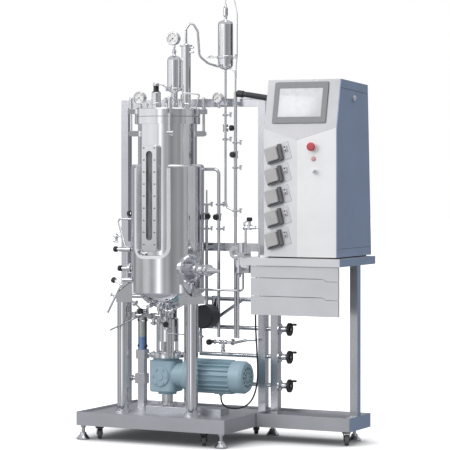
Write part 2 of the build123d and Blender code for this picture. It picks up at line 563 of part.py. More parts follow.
def exhaust_tubes():
    """Tube from the condenser to the exhaust filter, the vent loop and the filter's drain."""
    cx, cy, _, height = LID_PORTS["condenser"]
    top = LID_TOP + height + 290
    transfer = bent_tube([(cx, cy, top), (cx, cy, top + 72), (cx + 26, cy + 6, top + 108),
                          (cx + 55, cy + 14, top + 60), (cx + 62, cy + 20, top - 60),
                          (cx + 92, cy + 48, top - 92), (PIPE_C - 35, PIPE_Y - 2, top - 108)], 5.5,
                         [16, 16, 16, 40, 30])
    vent = bent_tube([(PIPE_C, PIPE_Y, 2057), (PIPE_C, PIPE_Y, 2082), (626, PIPE_Y, 2082),
                      (643, PIPE_Y, 2008), (643, PIPE_Y, 1812), (PIPE_D + 3, PIPE_Y, 1760),
                      (PIPE_D + 3, PIPE_Y, 1700)], 2.5, [12, 12, 30, 30, 20])
    drain = bent_tube([(PIPE_C + 20, PIPE_Y, 1752), (PIPE_D, PIPE_Y, 1738), (PIPE_D, PIPE_Y, 1640)], 4, 22)
    return [tube - exhaust_filter() for tube in (transfer, vent, drain)]


def small_valve(at, knob_dir, body_len=26.0):
    """Body and bonnet of a hand valve. The knob is a part of its own."""
    x, y, z = at
    body = Pos(x, y, z) * Cylinder(11, body_len)
    body += rod(at, tuple(a + 22 * b for a, b in zip(at, knob_dir)), 7)
    body += rod(at, tuple(a + 34 * b for a, b in zip(at, knob_dir)), KNOB_BORE_R - RUNNING)
    for lift in (-body_len / 2 - 4, body_len / 2 - 2):
        body += Pos(x, y, z + lift) * Cylinder(13, 6, align=CENTRED)
    return body


def knob(at, knob_dir, reach=22.0):
    """Grooved knob that turns on the valve's bonnet, just clear of its face."""
    start = tuple(a + (reach + 0.3) * b for a, b in zip(at, knob_dir))
    body = turned([(0, 0), (9, 0), (14, 3), (14, 15), (11, 19), (0, 19)])
    for i in range(8):
        body -= Rot(0, 0, 45 * i) * Pos(15.5, 0, -1) * Cylinder(3, 22, align=CENTRED)
    body -= Pos(0, 0, -1) * Cylinder(KNOB_BORE_R, 13, align=CENTRED)
    return Plane(origin=start, z_dir=knob_dir) * body


def process_pipes():
    """Service pipes in front of the rack, with their valve bodies, clamps and brackets."""
    y = PIPE_Y
    supply = bent_tube([(VX + 100, y, 1271), (PIPE_B, y, 1271), (PIPE_B, y, 470)], PIPE_R, 24)
    supply -= Pos(VX, VY, 0) * Cylinder(JACKET_R, 4000)
    supply += bent_tube([(PIPE_C, y, 1745), (PIPE_C, y, 1118), (PIPE_C + 8, y, 1090), (PIPE_D, y, 1072)],
                        5.2, [14, 14])
    supply += rod((PIPE_D, y, 1640), (PIPE_D, y, 470), PIPE_R)
    supply += rod((PIPE_A, y, 1172), (PIPE_A, y, 1100), 3.5) + rod((PIPE_A, y, 1100), (PIPE_A, y, 552), PIPE_R)
    supply += rod((PIPE_B, y, 1103), (PIPE_C, y, 1103), 5)
    supply += bent_tube([(PIPE_A, y, 448), (PIPE_D, y, 448), (PIPE_D + 60, y + 4, 462),
                         (RACK_POSTS[1] + 6, y + 8, 464)], 6.5, [40, 30])
    for x, z in ((PIPE_A, 1103), (PIPE_B, 1103), (PIPE_B, 987), (PIPE_C, 1413), (PIPE_C, 1529), (PIPE_D, 1397),
                 (PIPE_D, 1278), (PIPE_D, 1073), (PIPE_A, 987)):
        supply += clamp_band(15, (x, y, z), (0, 0, 1), 10)
    for x, z in ((PIPE_C, 1583), (PIPE_D, 1583), (PIPE_A, 899), (PIPE_B, 899), (PIPE_D, 899)):
        supply += block(x - 9, x + 9, y - 2, RACK_Y, z - 8, z + 8)
    for at, way in KNOBS.values():
        supply += small_valve(at, way)
    return supply


def drain_headers():
    """Headers across the rack, a brace between the upper two, and globe valve bodies at the right end."""
    left, right = RACK_POSTS[0] + TUBE + 8, RACK_POSTS[1]
    pipes = [rod((left, HEADER_Y, HEADERS[0]), (right, HEADER_Y, HEADERS[0]), HEADER_R)]
    for z in HANDWHEELS.values():
        pipe = rod((420, HEADER_Y, z), (HANDWHEEL_X - 12, HEADER_Y, z), HEADER_R)
        pipe += Pos(STAND_POSTS[0] + TUBE, HEADER_Y, z) * Rot(0, 90, 0) * Cylinder(27, 6, align=CENTRED)
        pipe += Pos(860, HEADER_Y, z) * Rot(0, 90, 0) * Cylinder(14, 16, align=CENTRED)
        pipe += rod((HANDWHEEL_X - 12, HEADER_Y, z), (HANDWHEEL_X + 8, HEADER_Y, z), 5)
        pipes.append(pipe)
    brace = rod((650, HEADER_Y, HEADERS[0]), (447, HEADER_Y, HEADERS[1]), 8)
    return [pipes[0] + pipes[1] + brace] + pipes[2:]


def handwheel(name):
    """Dished handwheel with a crank knob, turning on the valve spindle."""
    z = HANDWHEELS[name]
    bore = 5 + RUNNING
    wheel = turned([(bore, -6), (11, -6), (11, -2), (26, 0), (HANDWHEEL_R, -4), (HANDWHEEL_R, 6), (26, 6),
                    (11, 4), (11, 8), (bore, 8)])
    for i in range(3):
        wheel -= Rot(0, 0, 120 * i + 30) * Pos(18, 0, -10) * Cylinder(5, 24, align=CENTRED)
    wheel += (Pos(24, 0, 5) * Cylinder(3.5, 24, align=CENTRED)
              + Pos(24, 0, 14) * Cylinder(5.5, 18, align=CENTRED))
    return Pos(HANDWHEEL_X, HEADER_Y, z) * Rot(0, 90, 0) * Rot(0, 0, 160) * wheel


# ------------------------------------------------------------------ fittings on the jacket
def jacket_x(y, side):
    """Where the jacket's wall stands at a given depth, on the left (-1) or right (1)."""
    return VX + side * math.sqrt(JACKET_R ** 2 - (y - VY) ** 2)


def sampling_valves():
    """Thermometer plug, steam-through sampling valves and their drain on the left of the jacket."""
    y = SAMPLE_Y
    wall = jacket_x(y, -1) + 12
    body = rod((wall, y, 1060), (166, y, 1060), 8) + rod((170, y, 1060), (156, y, 1060), 12)
    body += bent_tube([(wall, y, 1034), (98, y, 1034), (122, y, 955), (140, y, 900)], 5, [14, 30])
    body += rod((124, y, 950), (74, y, 950), 5) + clamp_band(14, (92, y, 950), (-1, 0, 0), 10)
    body += rod((172, y, 889), (108, y, 889), 12) + rod((108, y, 889), (98, y, 889), 7)
    body += rod((150, y, 889), (150, y, 798), 6)
    body += turned([(0, 0), (9, 0), (14, 3), (14, 15), (11, 19), (0, 19)], (98, y, 889), (-1, 0, 0))
    body += rod((wall, y, 798), (130, y, 798), 13)
    body += turned([(0, 0), (22, 0), (24, 4), (24, 12), (22, 16), (0, 16)], (176, y, 798), (-1, 0, 0))
    body += rod((130, y, 798), (122, y, 798), 7)
    body += turned([(0, 0), (9, 0), (14, 3), (14, 15), (11, 19), (0, 19)], (122, y, 798), (-1, 0, 0))
    body += rod((150, y, 798), (150, y, 744), 7) + rod((wall, y, 744), (128, y, 744), 11)
    body += bent_tube([(150, y, 744), (132, y, 744), (88, y, 665), (44, y, 584)], 5.5, [16, 90])
    body += rod((122, y, 718), (84, y, 737), 6)
    body += turned([(0, 0), (9, 0), (14, 3), (14, 15), (11, 19), (0, 19)], (86, y, 736), (-0.87, 0, 0.5))
    body += clamp_band(13, (86, y, 661), (-0.5, 0, -0.87), 10)
    return body - Pos(VX, VY, 0) * Cylinder(JACKET_R, 4000)


def side_port():
    """Probe port: ringed flange on the jacket, clamp, probe body and its cone."""
    port = turned([(0, 150), (70, 150), (70, 184), (64, 190), (52, 190), (50, 180), (26, 180), (26, 236),
                   (34, 238), (34, 250), (24, 252), (24, 286), (17, 288), (17, 304), (28, 306), (28, 318),
                   (17, 320), (17, 336), (5, 392), (0, 392)])
    port += bolts_on(58, 8, 4, 12, (0, 0, 189))
    port = Pos(VX, VY, PORT_Z) * Rot(0, 0, PORT_ANGLE) * Rot(0, 90, 0) * port
    return port - Pos(VX, VY, 0) * Cylinder(JACKET_R, 4000) - leg_zone()


def leg_zone():
    """Everything of the leg brackets that a jacket fitting must stay clear of."""
    return Pos(VX, VY, BRACKET_TOP - 40) * Cylinder(262, GUSSET_TOP - BRACKET_TOP + 41, align=CENTRED)


def harvest_valve():
    """Bottom sampling valve hung under the dish, with its block, outlet and spindle for the lever."""
    x, y, z = HARVEST
    body = rod((x + 36, y, z), (x + 36, y, DISH_BOTTOM + 40), 9) - dished_end()
    body += Pos(x + 36, y, z) * Sphere(11) + rod((x + 36, y, z), (x - 24, y, z), 9)
    body += (Pos(x, y, z - 18) * Cylinder(16, 30, align=CENTRED)
             + Pos(x, y, z - 46) * Cylinder(9, 30, align=CENTRED))
    body += clamp_band(17, (x, y, z - 36), (0, 0, 1), 10)
    body += rod((x - 20, y, z), (x - 108, y, z), 7) + block(x - 122, x - 96, y - 12, y + 12, z - 13, z + 13)
    body += clamp_band(16, (x - 60, y, z), (-1, 0, 0), 10)
    return body + Pos(x, y - 14, z - 2) * Rot(90, 0, 0) * Cylinder(SPINDLE_R, 26, align=CENTRED)


def dished_end():
    """The vessel's bottom dish as a filled form, for trimming what is welded to it."""
    edges = [dish(SHELL_R, DISH_TOP, DISH_BOTTOM), Line((SHELL_R, 0, DISH_TOP), (0, 0, DISH_TOP)),
             Line((0, 0, DISH_TOP), (0, 0, DISH_BOTTOM))]
    return Pos(VX, VY, 0) * revolve(make_face(edges), axis=Axis.Z)


def harvest_lever():
    """Long bent lever that turns on the harvest valve's front spindle."""
    x, y, z = HARVEST
    y_hub, z = y - 34, z - 2
    hub = Pos(x, y_hub + 5, z) * Rot(90, 0, 0) * Cylinder(12, 15, align=CENTRED)
    arm = bent_tube([(x, y_hub, z), (x - 30, y_hub - 2, z + 10), (x - 64, y_hub - 30, z - 8),
                     (x - 180, y_hub - 68, z - 66)], 4, [20, 60])
    return hub + arm - Pos(x, y, z) * Rot(90, 0, 0) * Cylinder(SPINDLE_R + RUNNING, 40.4, align=CENTRED)


def condensate_trap():
    """Trap cup with its ferrule beside the table, fed from the jacket, and the valve group on the table."""
    x, y = TRAP_CUP
    body = Pos(x, y, 786) * Cylinder(23, 60, align=CENTRED) + block(x + 10, x + 58, y - 15, y + 15, 786, 822)
    body += turned([(0, 0), (9, 0), (9, 12), (23, 20), (0, 20)], (x, y, 766))
    body += Pos(x - 4, y, 478) * Cylinder(5.5, 296, align=CENTRED)
    body += block(x + 10, TABLE[0], y - 10, y + 10, 830, 858) + rod((x, y, 840), (x, y, 903), 12)
    ring = turned([(0, 0), (31, 0), (31, 8), (22, 12), (22, 28), (0, 28)])
    body += Plane(origin=(x - 14, y - 14, 881), z_dir=(0, 1, 0)) * ring
    body -= Plane(origin=(x - 14, y - 15, 881), z_dir=(0, 1, 0)) * Cylinder(17, 20, align=CENTRED)
    feed = bent_tube([(VX + 150, y + 12, 702), (x + 14, y + 12, 702), (x + 14, y + 12, 796)], 5.5, 14)
    body += feed - Pos(VX, VY, 0) * Cylinder(JACKET_R, 4000)
    tx, ty = TRAP
    body += rod((x, y, 892), (tx + 12, ty + 28, 892), 8)
    body += block(tx + 4, tx + 24, ty + 18, ty + 88, TABLE_TOP, TABLE_TOP + 50)
    body += Pos(tx + 12, ty + 20, TABLE_TOP + 22) * Cylinder(20, 46, align=CENTRED)
    ty += 58
    body += (rod((tx + 11, ty, TABLE_TOP + 40), (tx + 11, ty, 1005), 6)
             + rod((tx - 2, ty, 1000), (tx + 64, ty, 1000), 9))
    body += bent_tube([(tx + 60, ty, 1000), (tx + 80, ty, 1000), (tx + 80, ty, TABLE_TOP)], 4, 12)
    body += (clamp_band(14, (tx + 4, ty, 1000), (1, 0, 0), 10)
             + Pos(tx + 31, ty, 988) * Cylinder(11, 26, align=CENTRED))
    body += Pos(tx + 31, ty, 1014) * Cylinder(7, 14, align=CENTRED)
    return body + Pos(tx + 31, ty, 1014) * Cylinder(KNOB_BORE_R - RUNNING, 26, align=CENTRED)


def circulation_pump():
    """Jacket circulation pump between dish and rack, carried by a saddle on the upper header."""
    x, y, z = PUMP_AT
    body = turned([(0, 0), (48, 0), (56, 6), (56, 76), (50, 84), (0, 84)], (x, y - 42, z), (0, 1, 0))
    body += rod((x, y + 40, z), (x, 440, z), 10) + block(x - 22, x + 22, 424, 438, z - 24, z + 24)
    body += block(x - 12, x + 12, 438, 450, z - 12, HEADERS[0] + 14)
    body += block(x - 12, x + 12, 450, HEADER_Y, HEADERS[0] - 14, HEADERS[0] + 14)
    return body - rod((x - 20, HEADER_Y, HEADERS[0]), (x + 20, HEADER_Y, HEADERS[0]), HEADER_R)


def flow_meter():
    """Variable-area flow meter on its post, with inlet and outlet blocks."""
    x, y = FLOW_METER
    post = block(x - 17, x + 17, y - 17, y + 17, TRAY_FLOOR, 352)
    body = (post + block(x - 24, x + 24, y - 24, y + 24, 352, 396)
            + block(x - 28, x + 26, y - 26, y + 18, 232, 280))
    body += (Pos(x, y, 396) * Cylinder(16.5, 62, align=CENTRED)
             + Pos(x, y, 458) * Cylinder(16, 98, align=CENTRED))
    body += block(x - 22, x + 22, y - 22, y + 22, 556, 592)
    body += (rod((x - 50, y - 6, 256), (x - 26, y - 6, 256), 9)
             + rod((x - 50, y - 6, 256), (x - 58, y - 6, 256), 14))
    body += rod((x + 24, y, 374), (x + 58, y, 374), 8) + rod((x + 58, y, 374), (x + 66, y, 374), 15)
    body += rod((x - 24, y, 574), (x - 40, y, 574), 8) + rod((x, y + 10, 574), (x, y + 50, 574), 8)
    return body


# ------------------------------------------------------------------ drive
def drive_lantern():
    """Bearing lantern between gearbox and vessel: flanged column with four windows and a seal spigot."""
    top = SEAL_FACE
    body = turned([(0, GEAR_TOP), (86, GEAR_TOP), (86, GEAR_TOP + 14), (LANTERN_R, GEAR_TOP + 16),
                   (LANTERN_R, top - 40), (SEAL_BOSS_R, top - 34), (SEAL_BOSS_R, top), (SEAL_BORE_R, top),
                   (SEAL_BORE_R, top + 8), (0, top + 8)], (VX, VY, 0))
    body += bolts_on(70, 8, 6, 9, (VX, VY, GEAR_TOP + 14))
    body -= Pos(VX, VY, GEAR_TOP + 20) * Cylinder(LANTERN_R - 11, 66, align=CENTRED)
    for angle in (0, 90):
        body -= about_vessel(angle, block(-60, 60, -22, 22, GEAR_TOP + 26, GEAR_TOP + 76))
    return body - Pos(VX, VY, GEAR_TOP - 1) * Cylinder(SHAFT_R + RUNNING, 260, align=CENTRED)


def gearbox():
    """Worm gearbox on its pedestal, with side cover, filler plugs and input neck."""
    body = turned([(0, PLINTH_TOP), (46, PLINTH_TOP), (46, PLINTH_TOP + 9), (27, PLINTH_TOP + 11),
                   (27, GEAR_BOTTOM - 14), (44, GEAR_BOTTOM - 12), (44, GEAR_BOTTOM + 1),
                   (0, GEAR_BOTTOM + 1)], (VX, VY, 0))
    case = fillet(block(262, 394, VY - 62, VY + 62, GEAR_BOTTOM, GEAR_TOP - 14).edges().filter_by(Axis.Z), 26)
    case = chamfer(case.faces().sort_by(Axis.Z)[0].edges(), 6)
    body += case + Pos(VX - 6, VY, GEAR_TOP - 14) * Cylinder(62, 14, align=CENTRED)
    body += (rod((380, VY, MOTOR_Z), (438, VY, MOTOR_Z), 58)
             + rod((436, VY, MOTOR_Z), (MOTOR_X[0], VY, MOTOR_Z), 72))
    body += turned([(0, 0), (48, 0), (48, 5), (44, 8), (20, 8), (18, 11), (0, 11)],
                   (VX - 6, VY - 62, MOTOR_Z - 8), (0, -1, 0))
    body += bolts_on(36, 6, 4, 12, (VX - 6, VY - 62, MOTOR_Z - 8), (0, -1, 0))
    body += bolts_on(38, 4, 5, 8, (VX, VY, PLINTH_TOP + 9))
    body += Pos(282, VY - 30, GEAR_TOP - 14) * Cylinder(8, 9, align=CENTRED)
    body -= Pos(VX, VY, GEAR_TOP - 16) * Cylinder(SHAFT_R + RUNNING, 60, align=CENTRED)
    return body - rod((430, VY, MOTOR_Z), (500, VY, MOTOR_Z), ROTOR_R + RUNNING)


def motor_housing():
    """Finned motor body, hollow round its rotor, with feet rings and the cable gland."""
    start, end = MOTOR_X
    body = turned([(0, 0), (72, 0), (78, 10), (78, 26), (66, 30), (66, end - start - 12),
                   (74, end - start - 12), (74, end - start), (0, end - start)], (start, VY, MOTOR_Z),
                  (1, 0, 0))
    fins = []
    for i in range(FINS):
        turn = 360 / FINS * (i + 0.5)
        fin = (Pos((start + end) / 2 + 8, VY, MOTOR_Z) * Rot(turn, 0, 0) * Pos(0, 0, 70)
               * Box(end - start - 40, 3.4, 22))
        fins.append(fin)
    body += fins
    body += block(596, 646, VY - 22, VY + 22, 216, 240) + Pos(620, VY, 208) * Cylinder(8.5, 14, align=CENTRED)
    body += Pos(620, VY, 210) * extrude(RegularPolygon(11, 6), 5)
    body -= rod((start + 16, VY, MOTOR_Z), (end - 14, VY, MOTOR_Z), 50)
    return body - rod((start - 1, VY, MOTOR_Z), (end + 1, VY, MOTOR_Z), ROTOR_R + RUNNING)


def motor_rotor():
    """Motor shaft with its core and the cooling fan behind the end shield."""
    start, end = MOTOR_X
    body = rod((start - 18, VY, MOTOR_Z), (end + 36, VY, MOTOR_Z), ROTOR_R)
    body += rod((start + 46, VY, MOTOR_Z), (end - 44, VY, MOTOR_Z), 44)
    body += rod((end + 12, VY, MOTOR_Z), (end + 34, VY, MOTOR_Z), 20)
    for i in range(7):
        body += (Pos(end + 23, VY, MOTOR_Z) * Rot(360 / 7 * i, 0, 0) * Pos(0, 0, 39) * Rot(0, 0, 12)
                 * Box(3, 20, 44))
    return body


def fan_cowl():
    """Sheet cowl over the fan, its end pierced with rings of slots."""
    x = MOTOR_X[1]
    depth = COWL_END - x
    body = turned([(72, 0), (76, 0), (76, depth - 16), (68, depth - 3), (54, depth), (0, depth),
                   (0, depth - 3), (52, depth - 3), (66, depth - 6), (72, depth - 18)], (x, VY, MOTOR_Z),
                  (1, 0, 0))
    for i in range(12):
        for ring, width in ((24, 7), (43, 13)):
            slot = Pos(COWL_END - 4, VY, MOTOR_Z) * Rot(30 * i, 0, 0) * Pos(0, 0, ring) * Box(12, width, 12)
            body -= slot
    return body


def agitator():
    """Agitator shaft with three six-blade disc impellers."""
    body = Pos(VX, VY, GEAR_TOP - 14) * Cylinder(SHAFT_R, 1180 - GEAR_TOP + 14, align=CENTRED)
    for z in IMPELLER_Z:
        body += (Pos(VX, VY, z - 14) * Cylinder(15, 28, align=CENTRED)
                 + Pos(VX, VY, z - 1.5) * Cylinder(38, 3, align=CENTRED))
        for i in range(6):
            body += about_vessel(60 * i, Pos(IMPELLER_R - 13, 0, z) * Box(26, 3, 22))
    return body


def motor_cable():
    start, end = CABLE_ROUTE[0], CABLE_ROUTE[-1]
    spans = [math.dist(a, b) for a, b in zip(CABLE_ROUTE, CABLE_ROUTE[1:])]
    radii = []
    for before, corner, after, one, two in zip(CABLE_ROUTE, CABLE_ROUTE[1:], CABLE_ROUTE[2:], spans,
                                               spans[1:]):
        into, out = Vector(*corner) - Vector(*before), Vector(*after) - Vector(*corner)
        half_turn = math.radians(into.get_angle(out)) / 2
        radii.append(0.45 * min(one, two) / math.tan(half_turn))
    print("cable bends", [round(r) for r in radii], "from", start, "to", end, "length", round(sum(spans)))
    path = FilletPolyline(*CABLE_ROUTE, radius=radii)
    return sweep(Plane(origin=path @ 0, z_dir=path % 0) * Circle(CABLE_R), path=path)


# ------------------------------------------------------------------ cabinet
def cabinet_form(inset, right):
    """Cabinet volume: folded front with a central ridge under the leaning screen panel."""
    (y_foot, z_foot), (y_head, z_head) = PANEL_FOOT, PANEL_HEAD
    slope = (z_head - z_foot) / (y_head - y_foot)
    lean = math.hypot(slope, 1)
    y_low = PROW_Y - 60
    back_y, roof_z = ROOF_BACK
    side = [(y_low, CABINET_BOTTOM + inset), (y_low, z_foot - (y_foot - y_low) * slope - inset * lean),
            (y_head + 0.9 * inset, z_head - 1.2 * inset), (back_y - inset, roof_z - 1.1 * inset),
            (BACK_FOOT[0] - inset, BACK_FOOT[1] + inset)]
    profile = (Plane(origin=(CABINET[0] + inset, 0, 0), x_dir=(0, 1, 0), z_dir=(1, 0, 0))
               * make_face(Polyline(*side, close=True)))
    volume = extrude(profile, right - CABINET[0] - inset)
    x0, x1 = CABINET
    plan = [(x0, CABINET_FRONT + inset), (PROW_X, PROW_Y + inset), (x1, CABINET_FRONT + inset), (x1, 700),
            (x0, 700)]
    return volume & plate(plan, 1200, Plane(origin=(0, 0, 700)))


def cabinet_shell():
    """Sheet housing open to the right, with its foot, mounting plate, drive units and door lock rail."""
    x0, x1 = CABINET
    body = cabinet_form(0, x1) - (Pos(10, 0, 0) * cabinet_form(3, x1) + cabinet_form(3, x1))
    body += block(x0 + 14, x1 - 14, 268, 632, TABLE_TOP, CABINET_BOTTOM + 2)
    body += block(x0 + 2, x0 + 5, 330, 600, 920, 1600) + block(x0 + 5, x0 + 70, 380, 560, 960, 1180)
    body += block(x0 + 5, x0 + 60, 360, 480, 1240, 1400)
    flange = block(x1 - 3, x1, 255, 300, CABINET_BOTTOM + 2, 1300) & cabinet_form(0, x1)
    return [body + flange] + front_controls()


def cabinet_side_panel():
    """Removable side panel with its folded lid band and lock."""
    body = extrude(cabinet_form(0, CABINET[1]).faces().sort_by(Axis.X)[-1], SIDE_SKIN)
    (y0, z0), (y1, z1) = PANEL_HEAD, ROOF_BACK
    x = CABINET[1] + SIDE_SKIN
    band = [(y0 - 30, z0 - LID_BAND + 2), (y1 + 60, z1 - LID_BAND - 4), (y1 + 60, z1 - LID_BAND - 6),
            (y0 - 30, z0 - LID_BAND)]
    seams = plate(band, 3, Plane(origin=(x - 1.5, 0, 0), x_dir=(0, 1, 0), z_dir=(1, 0, 0)))
    seams += block(x - 1.5, x + 1, 200, 700, CABINET_BOTTOM + 38, CABINET_BOTTOM + 39.5)
    lock = turned([(0, 0), (14, 0), (14, 8), (11, 12), (0, 12)], (x, 432, 1600), (1, 0, 0))
    return body - seams + lock


def panel_plane(along, across):
    """Plane on the leaning panel: 'across' from its left edge, 'along' up the slope from its foot."""
    (y_foot, z_foot), (y_head, z_head) = PANEL_FOOT, PANEL_HEAD
    run = Vector(0, y_head - y_foot, z_head - z_foot).normalized()
    at = Vector(across, y_foot, z_foot) + run * along
    return Plane(origin=at, x_dir=(1, 0, 0), z_dir=Vector(0, -run.Z, run.Y))


def hmi_panel():
    """Touch screen in its bezel, standing off the leaning panel."""
    plane = panel_plane(120, 1038)
    body = extrude(plane * RectangleRounded(272, 196, 7), 6)
    body = chamfer(body.faces().sort_by(Axis.Y)[0].edges(), 1.6)
    body -= extrude(plane.offset(4.5) * Rectangle(218, 136), 4)
    return body


def left_facet(x, z):
    """Plane on the left half of the folded front."""
    turn = Vector(PROW_X - CABINET[0], PROW_Y - CABINET_FRONT, 0).normalized()
    y = CABINET_FRONT + (PROW_Y - CABINET_FRONT) * (x - CABINET[0]) / (PROW_X - CABINET[0])
    return Plane(origin=(x, y, z), x_dir=turn, z_dir=(turn.Y, -turn.X, 0))


def right_facet(x, z):
    turn = Vector(CABINET[1] - PROW_X, CABINET_FRONT - PROW_Y, 0).normalized()
    y = PROW_Y + (CABINET_FRONT - PROW_Y) * (x - PROW_X) / (CABINET[1] - PROW_X)
    return Plane(origin=(x, y, z), x_dir=turn, z_dir=(turn.Y, -turn.X, 0))


def pump_head():
    """Peristaltic pump: mounting plate, clamped head, occlusion latch and feed switch."""
    unit = extrude(RectangleRounded(124, 80, 5), 3)
    head = extrude(Pos(-25, 0, 0) * RectangleRounded(62, 62, 6), 30)
    head = chamfer(head.faces().sort_by(Axis.Z)[-1].edges(), 2)
    unit += head + Pos(17, 0, 9) * Box(14, 72, 18) + Pos(-24, -36, 9) * Box(70, 9, 18)
    return unit + Pos(44, 8, 6) * Box(14, 26, 12)


def pump_heads():
    return [left_facet(PUMPS_X, PUMPS_Z - i * PUMP_PITCH) * Rot(0, 0, PUMP_TURN)
            * pump_head() for i in range(5)]


def front_controls():
    """Fixed parts of stop button, indicator and key switch, standing on the right half of the front."""
    stop = extrude(right_facet(*STOP_AT) * (Circle(17) - Circle(STOP_STEM_R + RUNNING)), 9)
    lamp = right_facet(*LAMP_AT) * turned([(0, 0), (11, 0), (11, 3), (8, 6), (0, 7)])
    key = extrude(right_facet(*KEY_AT) * (Circle(11) - Circle(KEY_R + RUNNING)), 6)
    return [stop, lamp, key]


def emergency_stop():
    """Mushroom button on its stem."""
    low = 9.5 + STOP_TRAVEL                  # underside of the head, clear of the collar when pressed
    head = turned([(0, low), (19, low), (20, low + 2.5), (20, low + 8.5), (16, low + 12.5), (0, low + 13.5)])
    stem = Pos(0, 0, 5) * Cylinder(STOP_STEM_R, 10, align=CENTRED)
    return right_facet(*STOP_AT) * (head + stem)


def key_switch():
    """Key in its barrel."""
    barrel = Pos(0, 0, 0.5) * Cylinder(KEY_R, 7.5, align=CENTRED)
    bow = Pos(0, 0, 8) * Box(2.5, 17, 20, align=CENTRED)
    return right_facet(*KEY_AT) * Rot(0, 0, -30) * (barrel + bow)


def cable_conduit():
    """Flexible conduit from the rack's junction cap into the cabinet's side."""
    x0 = CABINET[0]
    body = bent_tube([(661, 412, 1628), (702, 416, 1623), (781, 428, 1610), (x0, 432, 1598)], 13.5, [200, 200])
    body += turned([(0, 0), (16, 0), (17, 4), (17, 30), (0, 30)], (646, 411, 1630), (0.99, 0.05, -0.14))
    return body - block(x0, x0 + 40, 380, 480, 1500, 1700)


# ------------------------------------------------------------------ writing the parts
def gather(shape):
    """One compound from a shape or a list of separate solids."""
    shapes = shape if isinstance(shape, list) else [shape]
    solids = [s for one in shapes for s in one.solids()]
    return Compound(children=solids) if len(solids) > 1 else solids[0]


PARTS = {
    "vessel_tray": vessel_tray,
    "control_tray": control_tray,
    "levelling_feet": levelling_feet,
    "pipe_rack": pipe_rack,
    "work_table": work_table,
    "vessel_legs": vessel_legs,
    "jacketed_vessel": jacketed_vessel,
    "vessel_lid": vessel_lid,
    "lid_gasket": lid_gasket,
    "swing_bolts": swing_bolts,
    "sight_glass_frame": sight_glass_frame,
    "sight_glass": sight_glass,
    "inlet_filter": inlet_filter,
    "condenser": condenser,
    "lid_lamp": lid_lamp,
    "pressure_gauges": pressure_gauges,
    "exhaust_filter": exhaust_filter,
    "exhaust_tubes": exhaust_tubes,
    "process_pipes": process_pipes,
    "drain_headers": drain_headers,
    "flow_meter": flow_meter,
    "sampling_valves": sampling_valves,
    "side_port": side_port,
    "harvest_valve": harvest_valve,
    "harvest_lever": harvest_lever,
    "condensate_trap": condensate_trap,
    "circulation_pump": circulation_pump,
    "drive_lantern": drive_lantern,
    "gearbox": gearbox,
    "motor_housing": motor_housing,
    "motor_rotor": motor_rotor,
    "fan_cowl": fan_cowl,
    "agitator": agitator,
    "motor_cable": motor_cable,
    "cabinet_shell": cabinet_shell,
    "cabinet_side_panel": cabinet_side_panel,
    "hmi_panel": hmi_panel,
    "pump_heads": pump_heads,
    "cable_conduit": cable_conduit,
    "emergency_stop": emergency_stop,
    "key_switch": key_switch,
}
PARTS.update({f"drawer_{name}": (lambda i=i: drawer(i)) for i, name in enumerate(("top", "middle", "bottom"))})
PARTS.update({f"castor_fork_{name}": (lambda n=name: castor_fork(n)) for name in CASTORS})
PARTS.update({f"castor_wheel_{name}": (lambda n=name: castor_wheel(n)) for name in CASTORS})
PARTS.update({name: (lambda at=at, way=way: knob(at, way)) for name, (at, way) in KNOBS.items()})
PARTS.update({f"handwheel_{name}": (lambda n=name: handwheel(n)) for name in HANDWHEELS})
PARTS["knob_trap"] = lambda: knob((TRAP[0] + 31, TRAP[1] + 58, 1006), (0, 0, 1))


def main():
    os.makedirs("parts", exist_ok=True)
    shapes = {name: gather(make()) for name, make in PARTS.items()}
    boxes = [shape.bounding_box() for shape in shapes.values()]
    low = [min(tuple(b.min)[i] for b in boxes) for i in range(3)]
    high = [max(tuple(b.max)[i] for b in boxes) for i in range(3)]
    shift = (-(low[0] + high[0]) / 2, -(low[1] + high[1]) / 2, -low[2])
    print("whole", [round(h - l, 2) for h, l in zip(high, low)], "moved by", [round(s, 4) for s in shift])
    for name, shape in shapes.items():
        export_step(Pos(*shift) * shape, f"parts/{name}.step")


if __name__ == "__main__":
    main()
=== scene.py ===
import math

import bmesh
import bpy
from mathutils import Matrix, Vector


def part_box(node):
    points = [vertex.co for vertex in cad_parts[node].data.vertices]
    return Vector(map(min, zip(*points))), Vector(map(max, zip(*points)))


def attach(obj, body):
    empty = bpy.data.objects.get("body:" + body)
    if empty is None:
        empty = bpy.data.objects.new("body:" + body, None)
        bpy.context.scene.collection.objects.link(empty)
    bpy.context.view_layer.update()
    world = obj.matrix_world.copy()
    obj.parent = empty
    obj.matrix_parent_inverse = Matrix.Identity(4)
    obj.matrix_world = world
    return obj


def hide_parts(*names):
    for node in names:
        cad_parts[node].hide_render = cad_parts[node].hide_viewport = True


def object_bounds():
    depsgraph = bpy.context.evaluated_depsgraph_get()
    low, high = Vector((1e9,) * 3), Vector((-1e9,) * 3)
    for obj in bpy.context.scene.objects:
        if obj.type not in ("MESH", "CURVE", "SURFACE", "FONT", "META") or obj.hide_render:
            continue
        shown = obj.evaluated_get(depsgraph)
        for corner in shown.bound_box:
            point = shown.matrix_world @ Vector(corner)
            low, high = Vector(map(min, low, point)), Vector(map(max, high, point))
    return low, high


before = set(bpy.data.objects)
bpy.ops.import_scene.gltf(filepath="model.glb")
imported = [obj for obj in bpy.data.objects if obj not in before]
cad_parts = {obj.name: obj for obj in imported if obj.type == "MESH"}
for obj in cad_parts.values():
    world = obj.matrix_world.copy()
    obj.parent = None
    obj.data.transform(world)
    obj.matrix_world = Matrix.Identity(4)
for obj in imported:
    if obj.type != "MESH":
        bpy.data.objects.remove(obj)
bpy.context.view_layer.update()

# Skid coordinates in millimetres: X from the vessel tray's left side, Y from its front, Z from the floor.
TRAY_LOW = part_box("vessel_tray")[0]
